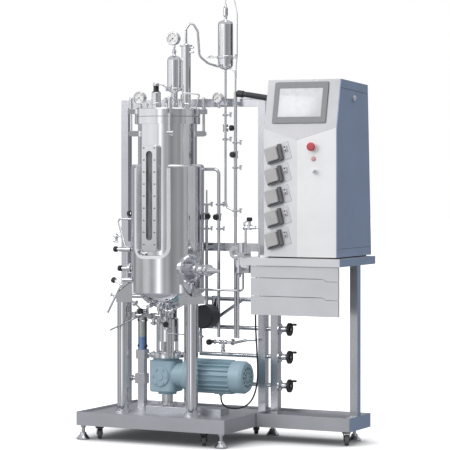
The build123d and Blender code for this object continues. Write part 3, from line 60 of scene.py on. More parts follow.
PIN_FOOT = 0.052                         # height in metres of the tray's lowest points, its castor pins
UP, FRONT, RIGHT = (0, 0, 1), (0, -1, 0), (1, 0, 0)


def at(x, y, z):
    """Scene point at skid coordinates."""
    return Vector((TRAY_LOW.x + x / 1000, TRAY_LOW.y + y / 1000, TRAY_LOW.z - PIN_FOOT + z / 1000))


def mm(point):
    """Skid coordinates of a scene point."""
    return (point - at(0, 0, 0)) * 1000


# ------------------------------------------------------------------ camera
CAMERA_AT = (5066.38, -8437.10, 1275.93)
VIEW_TURN = 26.894                       # degrees from straight behind the front, towards the right
LENS, LENS_SHIFT, SENSOR = 166.74, -0.1262, 36.0
FAR_CLIP = 100.0

camera_data = bpy.data.cameras.new("camera")
camera_data.lens = LENS
camera_data.sensor_width = SENSOR
camera_data.shift_y = LENS_SHIFT
camera_data.clip_end = FAR_CLIP
camera = bpy.data.objects.new("camera", camera_data)
camera.location = at(*CAMERA_AT)
camera.rotation_euler = (math.radians(90), 0, math.radians(VIEW_TURN))
bpy.context.collection.objects.link(camera)
bpy.context.scene.camera = camera

# ------------------------------------------------------------------ motor cable
CABLE_ROUTE = [
    (620, 288, 208), (620, 288, 183), (631.5, 293, 161.5), (651.5, 301, 150), (678, 312, 147),
    (706, 325, 150), (733, 338, 163), (752, 350, 188), (763, 360, 221), (769, 368, 260),
    (770, 374, 305), (767, 379, 355), (762, 383, 405), (757, 386, 458), (753, 388, 510),
    (751, 389, 560), (751.5, 389, 612), (753, 389, 665), (755, 389, 718), (757, 389, 772),
    (757, 389, 825),
]
CABLE_DIAMETER = 0.008
STEPS_ROUND, STEPS_ALONG = 5, 8          # fineness of every curve's section and run


def smooth_curve(name, points, radius, material):
    """Capped round rod that starts and ends on its points and bends near those between."""
    data = bpy.data.curves.new(name, "CURVE")
    data.dimensions = "3D"
    data.bevel_depth = radius
    data.bevel_resolution = STEPS_ROUND
    data.resolution_u = STEPS_ALONG
    data.use_fill_caps = True
    data.materials.append(material)
    spline = data.splines.new("NURBS")
    spline.points.add(len(points) - 1)
    for knot, place in zip(spline.points, points):
        knot.co = (*place, 1)
    spline.order_u = 3
    spline.use_endpoint_u = True
    obj = bpy.data.objects.new(name, data)
    bpy.context.collection.objects.link(obj)
    return obj


LEAD_MATERIAL = bpy.data.materials.new("lead_rubber")    # its nodes come with the other materials
cable_points = [at(*p) for p in CABLE_ROUTE]
motor_lead = smooth_curve("motor_lead", cable_points, CABLE_DIAMETER / 2, LEAD_MATERIAL)
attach(motor_lead, "skid")
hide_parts("motor_cable")


# ------------------------------------------------------------------ nodes
COLOR_MIX_INPUTS, COLOR_MIX_RESULT = (0, 6, 7), 2        # sockets of a Mix node that mixes colours


def feed(tree, source, socket):
    """Link an output to the socket, or set the socket's own number, vector or RGB colour."""
    if isinstance(source, bpy.types.NodeSocket):
        tree.links.new(source, socket)
    elif socket.type == "RGBA":
        socket.default_value = (*source, 1)
    else:
        socket.default_value = source


def add(tree, kind, **values):
    """New node. Each value feeds the input of its name or, where there is none, sets the property."""
    node = tree.nodes.new(kind)
    for key, value in values.items():
        title = key.replace("_", " ")
        if title in node.inputs:
            feed(tree, value, node.inputs[title])
        else:
            setattr(node, key, value)
    return node


def texture_space(tree, scale=(1, 1, 1)):
    """Object coordinates stretched by scale, so grain and smudges keep their size."""
    coords = tree.nodes.new("ShaderNodeTexCoord")
    return add(tree, "ShaderNodeMapping", Vector=coords.outputs["Object"], Scale=scale).outputs["Vector"]


def noise(tree, vector, scale, detail=3.0, rough=0.5):
    node = add(tree, "ShaderNodeTexNoise", Vector=vector, Scale=scale, Detail=detail, Roughness=rough)
    return node.outputs["Fac"]


def remap(tree, value, low, high, start=0.3, end=0.7):
    """Value between start and end, spread over low to high and held at both ends."""
    limits = {"From_Min": start, "From_Max": end, "To_Min": low, "To_Max": high}
    return add(tree, "ShaderNodeMapRange", Value=value, **limits).outputs["Result"]


def mixed(tree, factor, first, second):
    """Colour between two colours or outputs."""
    node = add(tree, "ShaderNodeMix", data_type="RGBA")
    for socket, source in zip(COLOR_MIX_INPUTS, (factor, first, second)):
        feed(tree, source, node.inputs[socket])
    return node.outputs[COLOR_MIX_RESULT]


def computed(tree, operation, first, second):
    node = add(tree, "ShaderNodeMath", operation=operation)
    feed(tree, first, node.inputs[0])
    feed(tree, second, node.inputs[1])
    return node.outputs[0]


def blend_shaders(tree, factor, first, second):
    node = add(tree, "ShaderNodeMixShader", Fac=factor)
    feed(tree, first, node.inputs[1])
    feed(tree, second, node.inputs[2])
    return node.outputs["Shader"]


# ------------------------------------------------------------------ materials
def new_material(name, color, metallic=0.0):
    """Material of one plain colour, with its tree and shader."""
    mat = LEAD_MATERIAL if name == "lead_rubber" else bpy.data.materials.new(name)
    mat.use_nodes = True
    shader = mat.node_tree.nodes["Principled BSDF"]
    shader.inputs["Base Color"].default_value = (*color, 1)
    shader.inputs["Metallic"].default_value = metallic
    return mat, mat.node_tree, shader


def vary(tree, shader, gloss, rough, tone, dark, light):
    """Spread the roughness over rough by one noise, and the colour from dark to light by another."""
    tree.links.new(remap(tree, gloss, *rough), shader.inputs["Roughness"])
    tree.links.new(mixed(tree, remap(tree, tone, 0, 1), dark, light), shader.inputs["Base Color"])


def bumped(tree, shader, height, strength, distance=0.0005):
    node = add(tree, "ShaderNodeBump", Strength=strength, Distance=distance, Height=height)
    tree.links.new(node.outputs["Normal"], shader.inputs["Normal"])


def steel(name, color, rough, grain, bump, metal=1.0):
    """Ground or blasted stainless sheet: fine grain one way, broad smudges and a slight tone change."""
    mat, tree, shader = new_material(name, color, metal)
    fine = noise(tree, texture_space(tree, grain), 14.0, 4.0, 0.6)
    broad = noise(tree, texture_space(tree), 6.0)
    light = tuple(min(1.0, c * 1.04) for c in color)
    dark = tuple(c * 0.95 for c in color)
    vary(tree, shader, fine, rough, broad, dark, light)
    bumped(tree, shader, fine, bump)
    return mat


def mirror_steel(name, color, rough, grain, bump=0.05, depth=0.0001):
    """Polished stainless, with faint drawn lines and handling marks."""
    mat, tree, shader = new_material(name, color, 1.0)
    fine = noise(tree, texture_space(tree, grain), 20.0, 3.0, 0.6)
    broad = noise(tree, texture_space(tree, (1, 1, 0.6)), 9.0, 4.0, 0.55)
    vary(tree, shader, broad, rough, broad, tuple(c * 0.92 for c in color), color)
    bumped(tree, shader, fine, bump, depth)
    return mat


def paint(name, color, roughness):
    """Sprayed paint: orange peel, slight tone change and worn gloss under a thin clear coat."""
    mat, tree, shader = new_material(name, color)
    shader.inputs["Coat Weight"].default_value = 0.15
    shader.inputs["Coat Roughness"].default_value = 0.25
    peel = noise(tree, texture_space(tree), 420.0, 2.0)
    broad = noise(tree, texture_space(tree), 7.0, 4.0)
    dark = tuple(max(0.0, c * 0.95 - 0.004) for c in color)
    light = tuple(c * 1.05 for c in color)
    vary(tree, shader, broad, (roughness - 0.07, roughness + 0.07), broad, dark, light)
    bumped(tree, shader, peel, 0.12, 0.0004)
    return mat


def plastic(name, color, roughness, bump=0.15, scale=600.0):
    """Moulded plastic, rubber or print: fine texture and a slight change of tone and gloss."""
    mat, tree, shader = new_material(name, color)
    grain = noise(tree, texture_space(tree), scale, 2.0)
    broad = noise(tree, texture_space(tree), 30.0)
    light = tuple(min(1.0, c * 1.12 + 0.004) for c in color)
    vary(tree, shader, broad, (roughness - 0.08, roughness + 0.08), broad, color, light)
    bumped(tree, shader, grain, bump, 0.0003)
    return mat


def window_glass(name, dark, light):
    """Glass coloured dark as painted shade for the unlit vessel behind it, and lighter in tall streaks."""
    mat, tree, shader = new_material(name, dark)
    broad = noise(tree, texture_space(tree, (4, 4, 1)), 12.0)
    vary(tree, shader, broad, (0.08, 0.20), broad, dark, light)
    return mat


# Grain of sheet and tube: the small number is the direction that the lines run in.
ALONG_X, ALONG_Y, ALONG_Z, NO_WAY = (2, 60, 60), (60, 2, 60), (60, 60, 2), (6, 6, 6)
MAT = {
    "sheet": steel("sheet_steel", (0.585, 0.595, 0.625), (0.28, 0.40), ALONG_Z, 0.06, 0.8),
    "tube": steel("tube_steel", (0.70, 0.71, 0.74), (0.20, 0.28), ALONG_Z, 0.012),
    "top": steel("table_steel", (0.80, 0.80, 0.82), (0.30, 0.42), ALONG_X, 0.05, 0.5),
    "cabinet": steel("cabinet_steel", (0.93, 0.93, 0.93), (0.42, 0.54), ALONG_X, 0.04, 0.22),
    # Darker copies of the cabinet steel: painted shade on the cabinet's sloping head and on its left facet.
    "head": steel("cabinet_head_painted_shade", (0.50, 0.50, 0.515), (0.38, 0.50), ALONG_X, 0.04, 0.35),
    "facet": steel("cabinet_facet_painted_shade", (0.81, 0.81, 0.82), (0.42, 0.54), ALONG_X, 0.04, 0.25),
    # Darker copy of the tray sheet: painted shade on the trays' floors.
    "floor": steel("tray_floor_painted_shade", (0.30, 0.31, 0.335), (0.26, 0.42), ALONG_Y, 0.06, 0.55),
    # Pale satin steel: painted highlight on the lip round the jacket's window, and painted light on its cut
    # walls.
    "rim": steel("rim_steel", (0.95, 0.95, 0.96), (0.28, 0.38), NO_WAY, 0.03, 0.4),
    "worn": steel("worn_steel", (0.36, 0.36, 0.37), (0.26, 0.40), NO_WAY, 0.05, 0.9),
    "drawer": steel("drawer_steel", (0.69, 0.70, 0.72), (0.38, 0.50), (60, 2, 2), 0.05, 0.35),
    "vessel": mirror_steel("vessel_steel", (0.90, 0.905, 0.92), (0.08, 0.15), (7, 7, 0.12), 0.14, 0.0004),
    "leg": mirror_steel("leg_steel", (0.90, 0.905, 0.92), (0.04, 0.08), (7, 7, 0.12)),
    "fitting": mirror_steel("fitting_steel", (0.84, 0.85, 0.87), (0.10, 0.22), NO_WAY),
    "pipe": mirror_steel("pipe_steel", (0.74, 0.75, 0.78), (0.10, 0.22), (30, 30, 2)),
    # Blue-grey paint of the cabinet's side panel, also used as painted shade on the right-facing sides of
    # the table and the control tray.
    "blue_paint_and_shade": paint("side_paint", (0.27, 0.35, 0.50), 0.5),
    "drive": paint("drive_paint", (0.36, 0.50, 0.57), 0.42),
    # Near-black paint of the dark parts, also used as painted shade under the cabinet and in its side
    # panel's seams.
    "dark": paint("dark_metal", (0.03, 0.033, 0.04), 0.45),
    "black": plastic("black_plastic", (0.018, 0.018, 0.02), 0.42),
    "rubber": plastic("lead_rubber", (0.03, 0.03, 0.033), 0.6, 0.25, 300.0),     # already on the cable
    "tyre": plastic("castor_tyre", (0.11, 0.11, 0.115), 0.55, 0.2, 300.0),
    "silicone": plastic("gasket_silicone", (0.62, 0.60, 0.55), 0.5),
    "red": plastic("red_plastic", (0.55, 0.07, 0.09), 0.36),
    "pump": plastic("pump_plastic", (0.47, 0.46, 0.455), 0.5, 0.5, 160.0),
    # Dark grey: painted shade beside and under each pump head.
    "latch": plastic("pump_latch", (0.13, 0.13, 0.145), 0.4),
    "bezel": plastic("bezel_plastic", (0.235, 0.24, 0.245), 0.45),
    "screen": plastic("screen_glass", (0.66, 0.67, 0.68), 0.16, 0.0),
    "dial": plastic("dial_white", (0.82, 0.82, 0.80), 0.4, 0.05),
    "ink": plastic("dial_ink", (0.02, 0.02, 0.02), 0.5, 0.05),
    "blue_tube": plastic("meter_blue", (0.20, 0.32, 0.60), 0.22),
    "clear_tube": plastic("meter_tube", (0.52, 0.55, 0.53), 0.2),
    "lens": plastic("indicator_lens", (0.62, 0.36, 0.34), 0.3),
    # Painted shade: the window is dark for the unlit inside of the vessel.
    "sight": window_glass("sight_glass_dark", (0.11, 0.113, 0.118), (0.24, 0.245, 0.25)),
}

# ------------------------------------------------------------------ where each material goes
LOW, HIGH = -math.inf, math.inf
ANY = (LOW, HIGH)


def zone(x=ANY, y=ANY, z=ANY, nx=ANY, ny=ANY, nz=ANY):
    """Test for faces whose centre in skid coordinates and whose normal lie between limits."""
    limits = (x, y, z, nx, ny, nz)

    def test(centre, normal):
        return all(low < value < high for value, (low, high) in zip((*mm(centre), *normal), limits))
    return test


VESSEL_AXIS = (334.0, 288.0)
LIP_RADIUS = 175.5                       # between the jacket, of radius 174, and the crown of its lip
LIP_HALF, LIP_LOW, LIP_HIGH = 110, 845, 1280             # half width and heights that the lip lies within
CUT_INSIDE, CUT_OUTSIDE, CUT_LOW = 76, 88, 850           # distances from the axis, and lowest height


def on_lip(centre, normal):
    """Crown of the rolled lip round the jacket's window, given pale steel as a painted highlight."""
    x, y, z = mm(centre) - Vector((*VESSEL_AXIS, 0))
    proud = math.hypot(x, y) > LIP_RADIUS
    return proud and y < 0 and abs(x) < LIP_HALF and LIP_LOW < z < LIP_HIGH


def on_cut(centre, normal):
    """Cut wall between that lip and the shell, given pale steel as painted light."""
    x, y, z = mm(centre) - Vector((*VESSEL_AXIS, 0))
    return abs(normal.x) > 0.9 and CUT_INSIDE < abs(x) < CUT_OUTSIDE and y < 0 and z > CUT_LOW


PUMP_AT = (939.0, 246.5, 1347.0)         # middle of the top pump's mounting plate
PUMP_PITCH, PUMP_COUNT = 98.3, 5         # step down to the next pump
PUMP_TURN = math.radians(15.0)           # how far each plate is turned in the facet
PLATE_FRONT, HEAD_RIGHT = 5.5, 30        # where the plate ends outwards, and the head across it
# Where the painted shade band lies on each pump's plate.
SHADE_BAND_BACK, SHADE_BAND_LEFT, SHADE_BAND_RIGHT = 3.5, 9, 26
STRIP_TOP, STRIP_RIGHT = -31.5, 14


def on_pump(centre):
    """Place on the nearest pump's mounting plate: across it, up it and out of it."""
    index = min(PUMP_COUNT - 1, max(0, round((PUMP_AT[2] - mm(centre).z) / PUMP_PITCH)))
    p = mm(centre) - Vector((PUMP_AT[0], PUMP_AT[1], PUMP_AT[2] - PUMP_PITCH * index))
    across = p.x * math.cos(PUMP_TURN) + p.z * math.sin(PUMP_TURN)
    up = -p.x * math.sin(PUMP_TURN) + p.z * math.cos(PUMP_TURN)
    return across, up, -p.y


def on_plate(centre, normal):
    """The plate under a pump head, and the part of it beside the head."""
    across, up, out = on_pump(centre)
    return out < PLATE_FRONT or across > HEAD_RIGHT


def on_latch(centre, normal):
    """Painted shade: a dark band down the right of a pump head, and the strip at its foot."""
    across, up, out = on_pump(centre)
    in_strip = up < STRIP_TOP and across < STRIP_RIGHT
    return out > SHADE_BAND_BACK and (SHADE_BAND_LEFT < across < SHADE_BAND_RIGHT or in_strip)


LAMP_AT, LAMP_REACH = (1118, 242, 1319), 15


def on_lamp(centre, normal):
    """The indicator lens on the cabinet front."""
    return (mm(centre) - Vector(LAMP_AT)).length < LAMP_REACH


LOCK_HEIGHT = 12                         # how far the side panel's lock stands proud of it
SIDE_FACE = max(mm(Vector(corner)).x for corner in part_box("cabinet_side_panel")) - LOCK_HEIGHT

# Main material of the CAD nodes, by name or by what the name begins with. The rest are "fitting".
MADE_OF = {
    "sheet": ("vessel_tray", "control_tray"),
    "tube": ("levelling_feet", "pipe_rack", "work_table", "drain_headers", "flow_meter"),
    "leg": ("vessel_legs",),
    "vessel": ("jacketed_vessel", "vessel_lid", "sight_glass_frame", "drive_lantern", "condenser",
               "inlet_filter", "exhaust_filter"),
    "pipe": ("process_pipes", "exhaust_tubes"),
    "worn": ("harvest_lever",),
    "drawer": ("drawer_",),
    "cabinet": ("cabinet_shell",),
    "blue_paint_and_shade": ("cabinet_side_panel",),
    "drive": ("gearbox", "motor_housing", "fan_cowl"),
    "dark": ("castor_fork_", "motor_rotor", "circulation_pump", "cable_conduit"),
    "black": ("knob_", "handwheel_"),
    "tyre": ("castor_wheel_",),
    "silicone": ("lid_gasket",),
    "sight": ("sight_glass",),
    "bezel": ("hmi_panel",),
    "pump": ("pump_heads",),
    "red": ("emergency_stop",),
}
# Parts of a node with a material of their own. Where more than one test holds, the last one counts.
PARTS = {
    "work_table": [
        (zone(z=(824, HIGH)), "top"),
        # Painted shade: the table's right-facing sides are blue-grey.
        (zone(x=(1240, HIGH), nx=(0.9, HIGH)), "blue_paint_and_shade"),
    ],
    # Painted shade: the tray's floor is dark.
    "vessel_tray": [(zone(z=(LOW, 118), nz=(0.9, HIGH)), "floor")],
    "control_tray": [
        # Painted shade: the control tray's right-facing sides are blue-grey.
        (zone(x=(1255, HIGH), nx=(0.9, HIGH)), "blue_paint_and_shade"),
        # Painted shade: the tray's floor is dark.
        (zone(z=(LOW, 122), nz=(0.9, HIGH)), "floor"),
    ],
    "cabinet_shell": [
        # Painted shade: the cabinet's underside is near black.
        (zone(z=(LOW, 876.5)), "dark"),
        # Painted shade: the sloping head and the left facet get darker copies of the cabinet steel.
        (zone(ny=(LOW, -0.5), nz=(0.05, HIGH)), "head"),
        (zone(nx=(LOW, -0.03), ny=(LOW, -0.9)), "facet"),
        (on_lamp, "lens"),
    ],
    "cabinet_side_panel": [
        (zone(x=(SIDE_FACE + 0.5, HIGH)), "fitting"),
        # Painted shade: the bottoms of the side panel's seam grooves are near black.
        (zone(x=(LOW, SIDE_FACE - 1), nx=(0.9, HIGH)), "dark"),
    ],
    # Painted shade beside and under each pump head.
    "pump_heads": [(on_plate, "drawer"), (on_latch, "latch")],
    "flow_meter": [
        (zone(x=(108, 148), z=(397, 457.5)), "blue_tube"),
        (zone(x=(108, 148), z=(458.5, 555.5)), "clear_tube"),
        (zone(x=(LOW, 75)), "black"),
        (zone(x=(187, HIGH)), "black"),
    ],
    "sampling_valves": [
        (zone(x=(79, 99.2), z=(874, 904)), "black"),
        (zone(x=(102.5, 123.2), z=(783, 813)), "black"),
        (zone(x=(LOW, 88), z=(722, 760)), "black"),
        (zone(x=(LOW, 171), z=(1046, 1074)), "black"),
    ],
    # Painted highlight on the window's lip, and painted light on its cut walls.
    "jacketed_vessel": [(on_lip, "rim"), (on_cut, "rim")],
    # Painted light: the frame's left and right sides get the duller sheet steel, so they read lighter than
    # the polished steel.
    "sight_glass_frame": [(zone(nx=(LOW, -0.9)), "sheet"), (zone(nx=(0.9, HIGH)), "sheet")],
    "gearbox": [(zone(z=(LOW, 203)), "vessel")],
    "circulation_pump": [(zone(z=(628, HIGH)), "fitting")],
    "lid_lamp": [(zone(x=(301, 341), z=(1634, 1665)), "dark")],
}


def main_material(node):
    for material, names in MADE_OF.items():
        if any(node == name or name.endswith("_") and node.startswith(name) for name in names):
            return material
    return "fitting"


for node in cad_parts:
    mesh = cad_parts[node].data
    main, parts = main_material(node), PARTS.get(node, [])
    names = list(dict.fromkeys([main] + [material for _, material in parts]))
    mesh.materials.clear()
    for name in names:
        mesh.materials.append(MAT[name])
    for face in mesh.polygons:
        held = [material for test, material in parts if test(face.center, face.normal)]
        face.material_index = names.index(held[-1] if held else main)


# ------------------------------------------------------------------ mesh helpers
SMOOTH_BELOW = math.radians(32)          # faces that meet at less are shaded as one surface


def mesh_piece(name, bm, material, smooth=True):
    """Finish a mesh as a piece that rides on the skid."""
    data = bpy.data.meshes.new(name)
    bmesh.ops.recalc_face_normals(bm, faces=bm.faces)
    bm.to_mesh(data)
    bm.free()
    data.materials.append(MAT[material])
    obj = bpy.data.objects.new(name, data)
    bpy.context.collection.objects.link(obj)
    if smooth:
        bpy.context.view_layer.objects.active = obj
        obj.select_set(True)
        bpy.ops.object.shade_smooth_by_angle(angle=SMOOTH_BELOW)
        obj.select_set(False)
    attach(obj, "skid")


def basis(origin, normal):
    """Matrix whose Z runs along normal and whose Y is as near upright as it can be."""
    z = Vector(normal).normalized()
    side = Vector(UP).cross(z)
    x = side.normalized() if side.length > 0.05 else Vector(RIGHT)
    y = z.cross(x)
    return Matrix((
        (x.x, y.x, z.x, origin[0]),
        (x.y, y.y, z.y, origin[1]),
        (x.z, y.z, z.z, origin[2]),
        (0, 0, 0, 1),
    ))


def lathe(bm, outline, matrix, steps=32):
    """Add a surface of revolution about the matrix's Z from (radius, height) points in metres."""
    rings = []
    for radius, height in outline:
        if radius <= 1e-7:
            rings.append([bm.verts.new(matrix @ Vector((0, 0, height)))])
            continue
        turns = [2 * math.pi * i / steps for i in range(steps)]
        ring = [Vector((radius * math.cos(turn), radius * math.sin(turn), height)) for turn in turns]
        rings.append([bm.verts.new(matrix @ place) for place in ring])
    for low, high in zip(rings, rings[1:]):
        for i in range(steps):
            j = (i + 1) % steps
            corners = [low[i % len(low)], low[j % len(low)], high[j % len(high)], high[i % len(high)]]
            unique = list(dict.fromkeys(corners))
            if len(unique) >= 3:
                bm.faces.new(unique)


def turned_on(bm, place, normal, outline, steps=24):
    """Turned form on a skid point, from (radius, height) points in millimetres."""
    lathe(bm, [(r / 1000, h / 1000) for r, h in outline], basis(at(*place), normal), steps)


def slab(bm, matrix, x, y, z, bevel=0.0):
    """Add a box in the matrix's frame from (low, high) pairs in metres, with its edges softened."""
    verts = bmesh.ops.create_cube(bm, size=1.0)["verts"]
    for v in verts:
        v.co = Vector([low + (unit + 0.5) * (high - low) for unit, (low, high) in zip(v.co, (x, y, z))])
    if bevel:
        edges = list(dict.fromkeys(e for v in verts for e in v.link_edges))
        out = bmesh.ops.bevel(bm, geom=edges, offset=bevel, segments=2, affect="EDGES", profile=0.6)
        verts = {v for f in out["faces"] for v in f.verts} | {v for v in verts if v.is_valid}
    for v in verts:
        v.co = matrix @ v.co


def both_ways(half):
    return -half, half


# ------------------------------------------------------------------ sight glass screws
SCREW = [(4.2, 0), (4.2, 2.55), (3.696, 3), (2.1, 3), (1.89, 1.5), (0, 1.5)]
SCREW_OUT, SCREW_FACE = 28.5, 107.2      # each row's distance from the axis, and the frame's front
SCREW_LOW, SCREW_PITCH, SCREW_COUNT = 919, 56.5, 9       # heights in a row

bm = bmesh.new()
for side in (-1, 1):
    for i in range(SCREW_COUNT):
        place = (VESSEL_AXIS[0] + side * SCREW_OUT, SCREW_FACE, SCREW_LOW + SCREW_PITCH * i)
        turned_on(bm, place, FRONT, SCREW, 20)
mesh_piece("sight_frame_screws", bm, "worn")

# ------------------------------------------------------------------ gauges
SCALE_START, SCALE_SWEEP = 225, 270      # degrees: angle of the zero, and the scale's run clockwise
TICKS, LONG_TICK, FIGURES = 30, 5, 6     # divisions, divisions from one long tick to the next, last figure


def gauge_dial(name, centre, radius, pointer_turn):
    """White dial with ticks, plain figures and a pointer on its hub, recessed in its bezel."""
    face = basis(centre, FRONT)
    bm = bmesh.new()
    lathe(bm, [(radius, 0), (radius, 0.0006), (0, 0.0006)], face, 48)
    mesh_piece(name + "_dial", bm, "dial")
    bm = bmesh.new()
    for i in range(TICKS + 1):
        tick = face @ Matrix.Rotation(math.radians(SCALE_START - SCALE_SWEEP * i / TICKS), 4, "Z")
        length, half = (0.16, 0.00044) if i % LONG_TICK == 0 else (0.09, 0.00022)
        slab(bm, tick, (radius * 0.90 - radius * length, radius * 0.90), both_ways(half), (0.0006, 0.0009))
    needle = face @ Matrix.Rotation(math.radians(pointer_turn), 4, "Z")
    slab(bm, needle, (-radius * 0.25, radius * 0.72), both_ways(0.0006), (0.0012, 0.0018))
    hub = [(radius * 0.11, 0.0006), (radius * 0.11, 0.0024), (radius * 0.07, 0.003), (0, 0.003)]
    lathe(bm, hub, face, 20)
    mesh_piece(name + "_marks", bm, "ink", smooth=False)
    for figure in range(0, FIGURES + 1, 2):
        turn = math.radians(SCALE_START - SCALE_SWEEP * figure / FIGURES)
        curve = bpy.data.curves.new(f"{name}_figure_{figure}", "FONT")
        curve.body = str(figure)
        curve.size = radius * 0.34
        curve.extrude = 0.0001
        curve.align_x = "CENTER"
        curve.align_y = "CENTER"
        curve.materials.append(MAT["ink"])
        obj = bpy.data.objects.new(f"{name}_figure_{figure}", curve)
        place = (radius * 0.6 * math.cos(turn), radius * 0.6 * math.sin(turn), 0.0008)
        obj.matrix_world = face @ Matrix.Translation(place)
        bpy.context.collection.objects.link(obj)
        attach(obj, "skid")


gauge_dial("lid_gauge", at(222, 211.2, 1610), 0.0248, 205)
gauge_dial("filter_gauge", at(352, 307.2, 1894), 0.0268, 215)
gauge_dial("rack_gauge", at(554, 380.2, 1610), 0.0208, 210)

# ------------------------------------------------------------------ sampling and drain tubes under the dish
TUBING = {                               # radius, then the points that the tube runs through or near
    "dish_outlet_right": (5.5, [
        (352, 207, 640), (352, 197, 612), (392, 190, 603), (436, 192, 616), (492, 192, 652)]),
    "dish_outlet_left": (5, [
        (286, 206, 642), (284, 196, 618), (262, 198, 602), (238, 206, 600), (206, 204, 634),
        (176, 196, 652)]),
    "dish_drain": (5, [(376, 192, 606), (376, 196, 560), (379, 204, 508)]),
    "lantern_purge": (3, [(362, 246, 493), (420, 218, 494), (512, 184, 497)]),
    "pump_suction": (10, [
        (446, 412, 396), (446, 412, 448), (444, 412, 486), (450, 402, 524), (466, 388, 552)]),
}
for name, (radius, points) in TUBING.items():
    tube = smooth_curve(name, [at(*p) for p in points], radius / 1000, MAT["pipe"])
    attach(tube, "skid")

CLAMP = [(0, -6), (11, -6), (16, -4), (16, 4), (11, 6), (0, 6)]
VALVE = [(0, -18), (11, -18), (11, -13), (7, -11), (9, -4), (9, 4), (7, 11), (11, 13), (11, 18), (0, 18)]
STEM = [(0, 0), (6, 0), (6, 12), (4, 14), (4, 26), (0, 26)]
GRIP = [(0, 22), (9, 22), (14, 25), (14, 37), (11, 41), (0, 41)]
SLEEVE = [(0, 0), (9, 0), (9, 34), (0, 34)]
FLANGE = [(0, 0), (12, 0), (12, 5), (6, 8), (6, 14), (0, 14)]
KNOBS = [((376, 196, 542), (0.5, -1, 0)), ((252, 201, 600), FRONT), ((509, 412, 448), FRONT)]
FITTINGS = [                             # outline, then the places and directions that it is turned on
    (CLAMP, [((352, 198, 618), UP), ((331, 206, 627), UP), ((286, 198, 622), UP), ((376, 196, 566), UP),
             ((379, 203, 520), UP), ((420, 191, 610), (1, 0, 0.3)), ((446, 412, 470), UP),
             ((206, 204, 634), (1, 0, -1)), ((620, 412, 450), RIGHT)]),
    (VALVE, [((376, 196, 542), UP), ((400, 190, 604), RIGHT), ((252, 201, 600), RIGHT),
             ((509, 412, 448), RIGHT), ((568, 412, 448), RIGHT), ((568, 412, 426), UP)]),
    (STEM, KNOBS + [((400, 190, 604), (0, -0.6, -1))]),
    (SLEEVE, [((331, 206, 600), UP)]),
    (FLANGE, [((568, 412, 402), UP)]),
]
GRIPS = [(GRIP, KNOBS)]
for name, material, groups in (("dish_fittings", "fitting", FITTINGS), ("dish_knobs", "black", GRIPS)):
    bm = bmesh.new()
    for outline, places in groups:
        for place, axis in places:
            turned_on(bm, place, axis, outline)
    mesh_piece(name, bm, material)

# ------------------------------------------------------------------ flow meter guards
METER_X, METER_Y = 128, 414
RAIL_OUT, RAIL_MIDDLE, RAIL_HALVES = 20.5, 476, (0.0018, 0.080, 0.004)
LUG = [(0, 0), (9, 0), (9, 6), (7, 9), (0, 9)]
LUG_OUT, LUG_HEIGHTS = 16, (414, 540)

bm = bmesh.new()
for side in (-1, 1):
    rail = basis(at(METER_X + side * RAIL_OUT, METER_Y, RAIL_MIDDLE), FRONT)
    slab(bm, rail, *map(both_ways, RAIL_HALVES), 0.0005)
    for z in LUG_HEIGHTS:
        turned_on(bm, (METER_X + side * LUG_OUT, METER_Y, z), (side, 0, 0), LUG, 20)
mesh_piece("flow_meter_guards", bm, "dark")

# ------------------------------------------------------------------ push buttons on the pumps' plates
PLATE_THICK = 3
FACET_NORMAL = (-0.0689, -0.9976, 0)     # out of the cabinet's left facet
BUTTON_ACROSS, BUTTON_OUT = (0.041, 0.047), (0.0, 0.0135)
BUTTON_PLACES, BUTTON_HALF = (0.0, 0.016), 0.003         # up the plate

bm = bmesh.new()
for index in range(PUMP_COUNT):
    middle = at(PUMP_AT[0], PUMP_AT[1] - PLATE_THICK, PUMP_AT[2] - PUMP_PITCH * index)
    plate = basis(middle, FACET_NORMAL) @ Matrix.Rotation(PUMP_TURN, 4, "Z")
    for up in BUTTON_PLACES:
        slab(bm, plate, BUTTON_ACROSS, (up - BUTTON_HALF, up + BUTTON_HALF), BUTTON_OUT, 0.0006)
mesh_piece("pump_buttons", bm, "black")

# ------------------------------------------------------------------ screen
HEAD_FOOT = Vector((1038.0, 250.0, 1460.0))              # where the cabinet's sloping head starts
HEAD_RUN = Vector((0, 48.0, 225.0)).normalized()         # up the slope
HEAD_NORMAL = Vector((0, -HEAD_RUN.z, HEAD_RUN.y))
SCREEN_UP, SCREEN_OUT = 120, 4.5         # its middle, from the foot of the slope
SCREEN_HALF_X, SCREEN_HALF_Y, SCREEN_DEPTH = 0.1088, 0.0678, (0.0001, 0.0008)

bm = bmesh.new()
screen_frame = basis(at(*(HEAD_FOOT + HEAD_RUN * SCREEN_UP + HEAD_NORMAL * SCREEN_OUT)), HEAD_NORMAL)
slab(bm, screen_frame, both_ways(SCREEN_HALF_X), both_ways(SCREEN_HALF_Y), SCREEN_DEPTH, 0.0002)
mesh_piece("touch_screen", bm, "screen")

# ------------------------------------------------------------------ world
STUDIO = [                               # bearing from the front in degrees, brightness of the wall there
    (-180, 0.22), (-153, 0.17), (-128, 0.32), (-114, 0.44), (-96, 0.24), (-84, 0.44), (-74, 0.36),
    (-60, 0.28), (-50, 0.50), (-36, 0.54), (-24, 0.28), (-17, 0.36), (-8, 0.74), (-2, 1.22), (4, 1.22),
    (9, 0.76), (14, 0.50), (21, 0.38), (27, 0.46), (42, 0.24), (62, 0.36), (76, 0.28), (85, 0.46),
    (103, 0.30), (113, 0.14), (121, 0.07), (142, 0.05), (149, 0.12), (156, 0.48), (172, 0.20),
]
WALL_TINT = (0.97, 0.985, 1.03)
BACK_BLUE, BACK_FROM = 1.10, 110         # bluer light behind the object, beyond this bearing on both sides
BOX_LEFT, BOX_RIGHT = (-97, -88), (-16, -9)              # bearings over which the soft box fades in and out
BOX_FOOT = (-0.045, -0.015)              # sines of the elevation over which its lower edge fades in
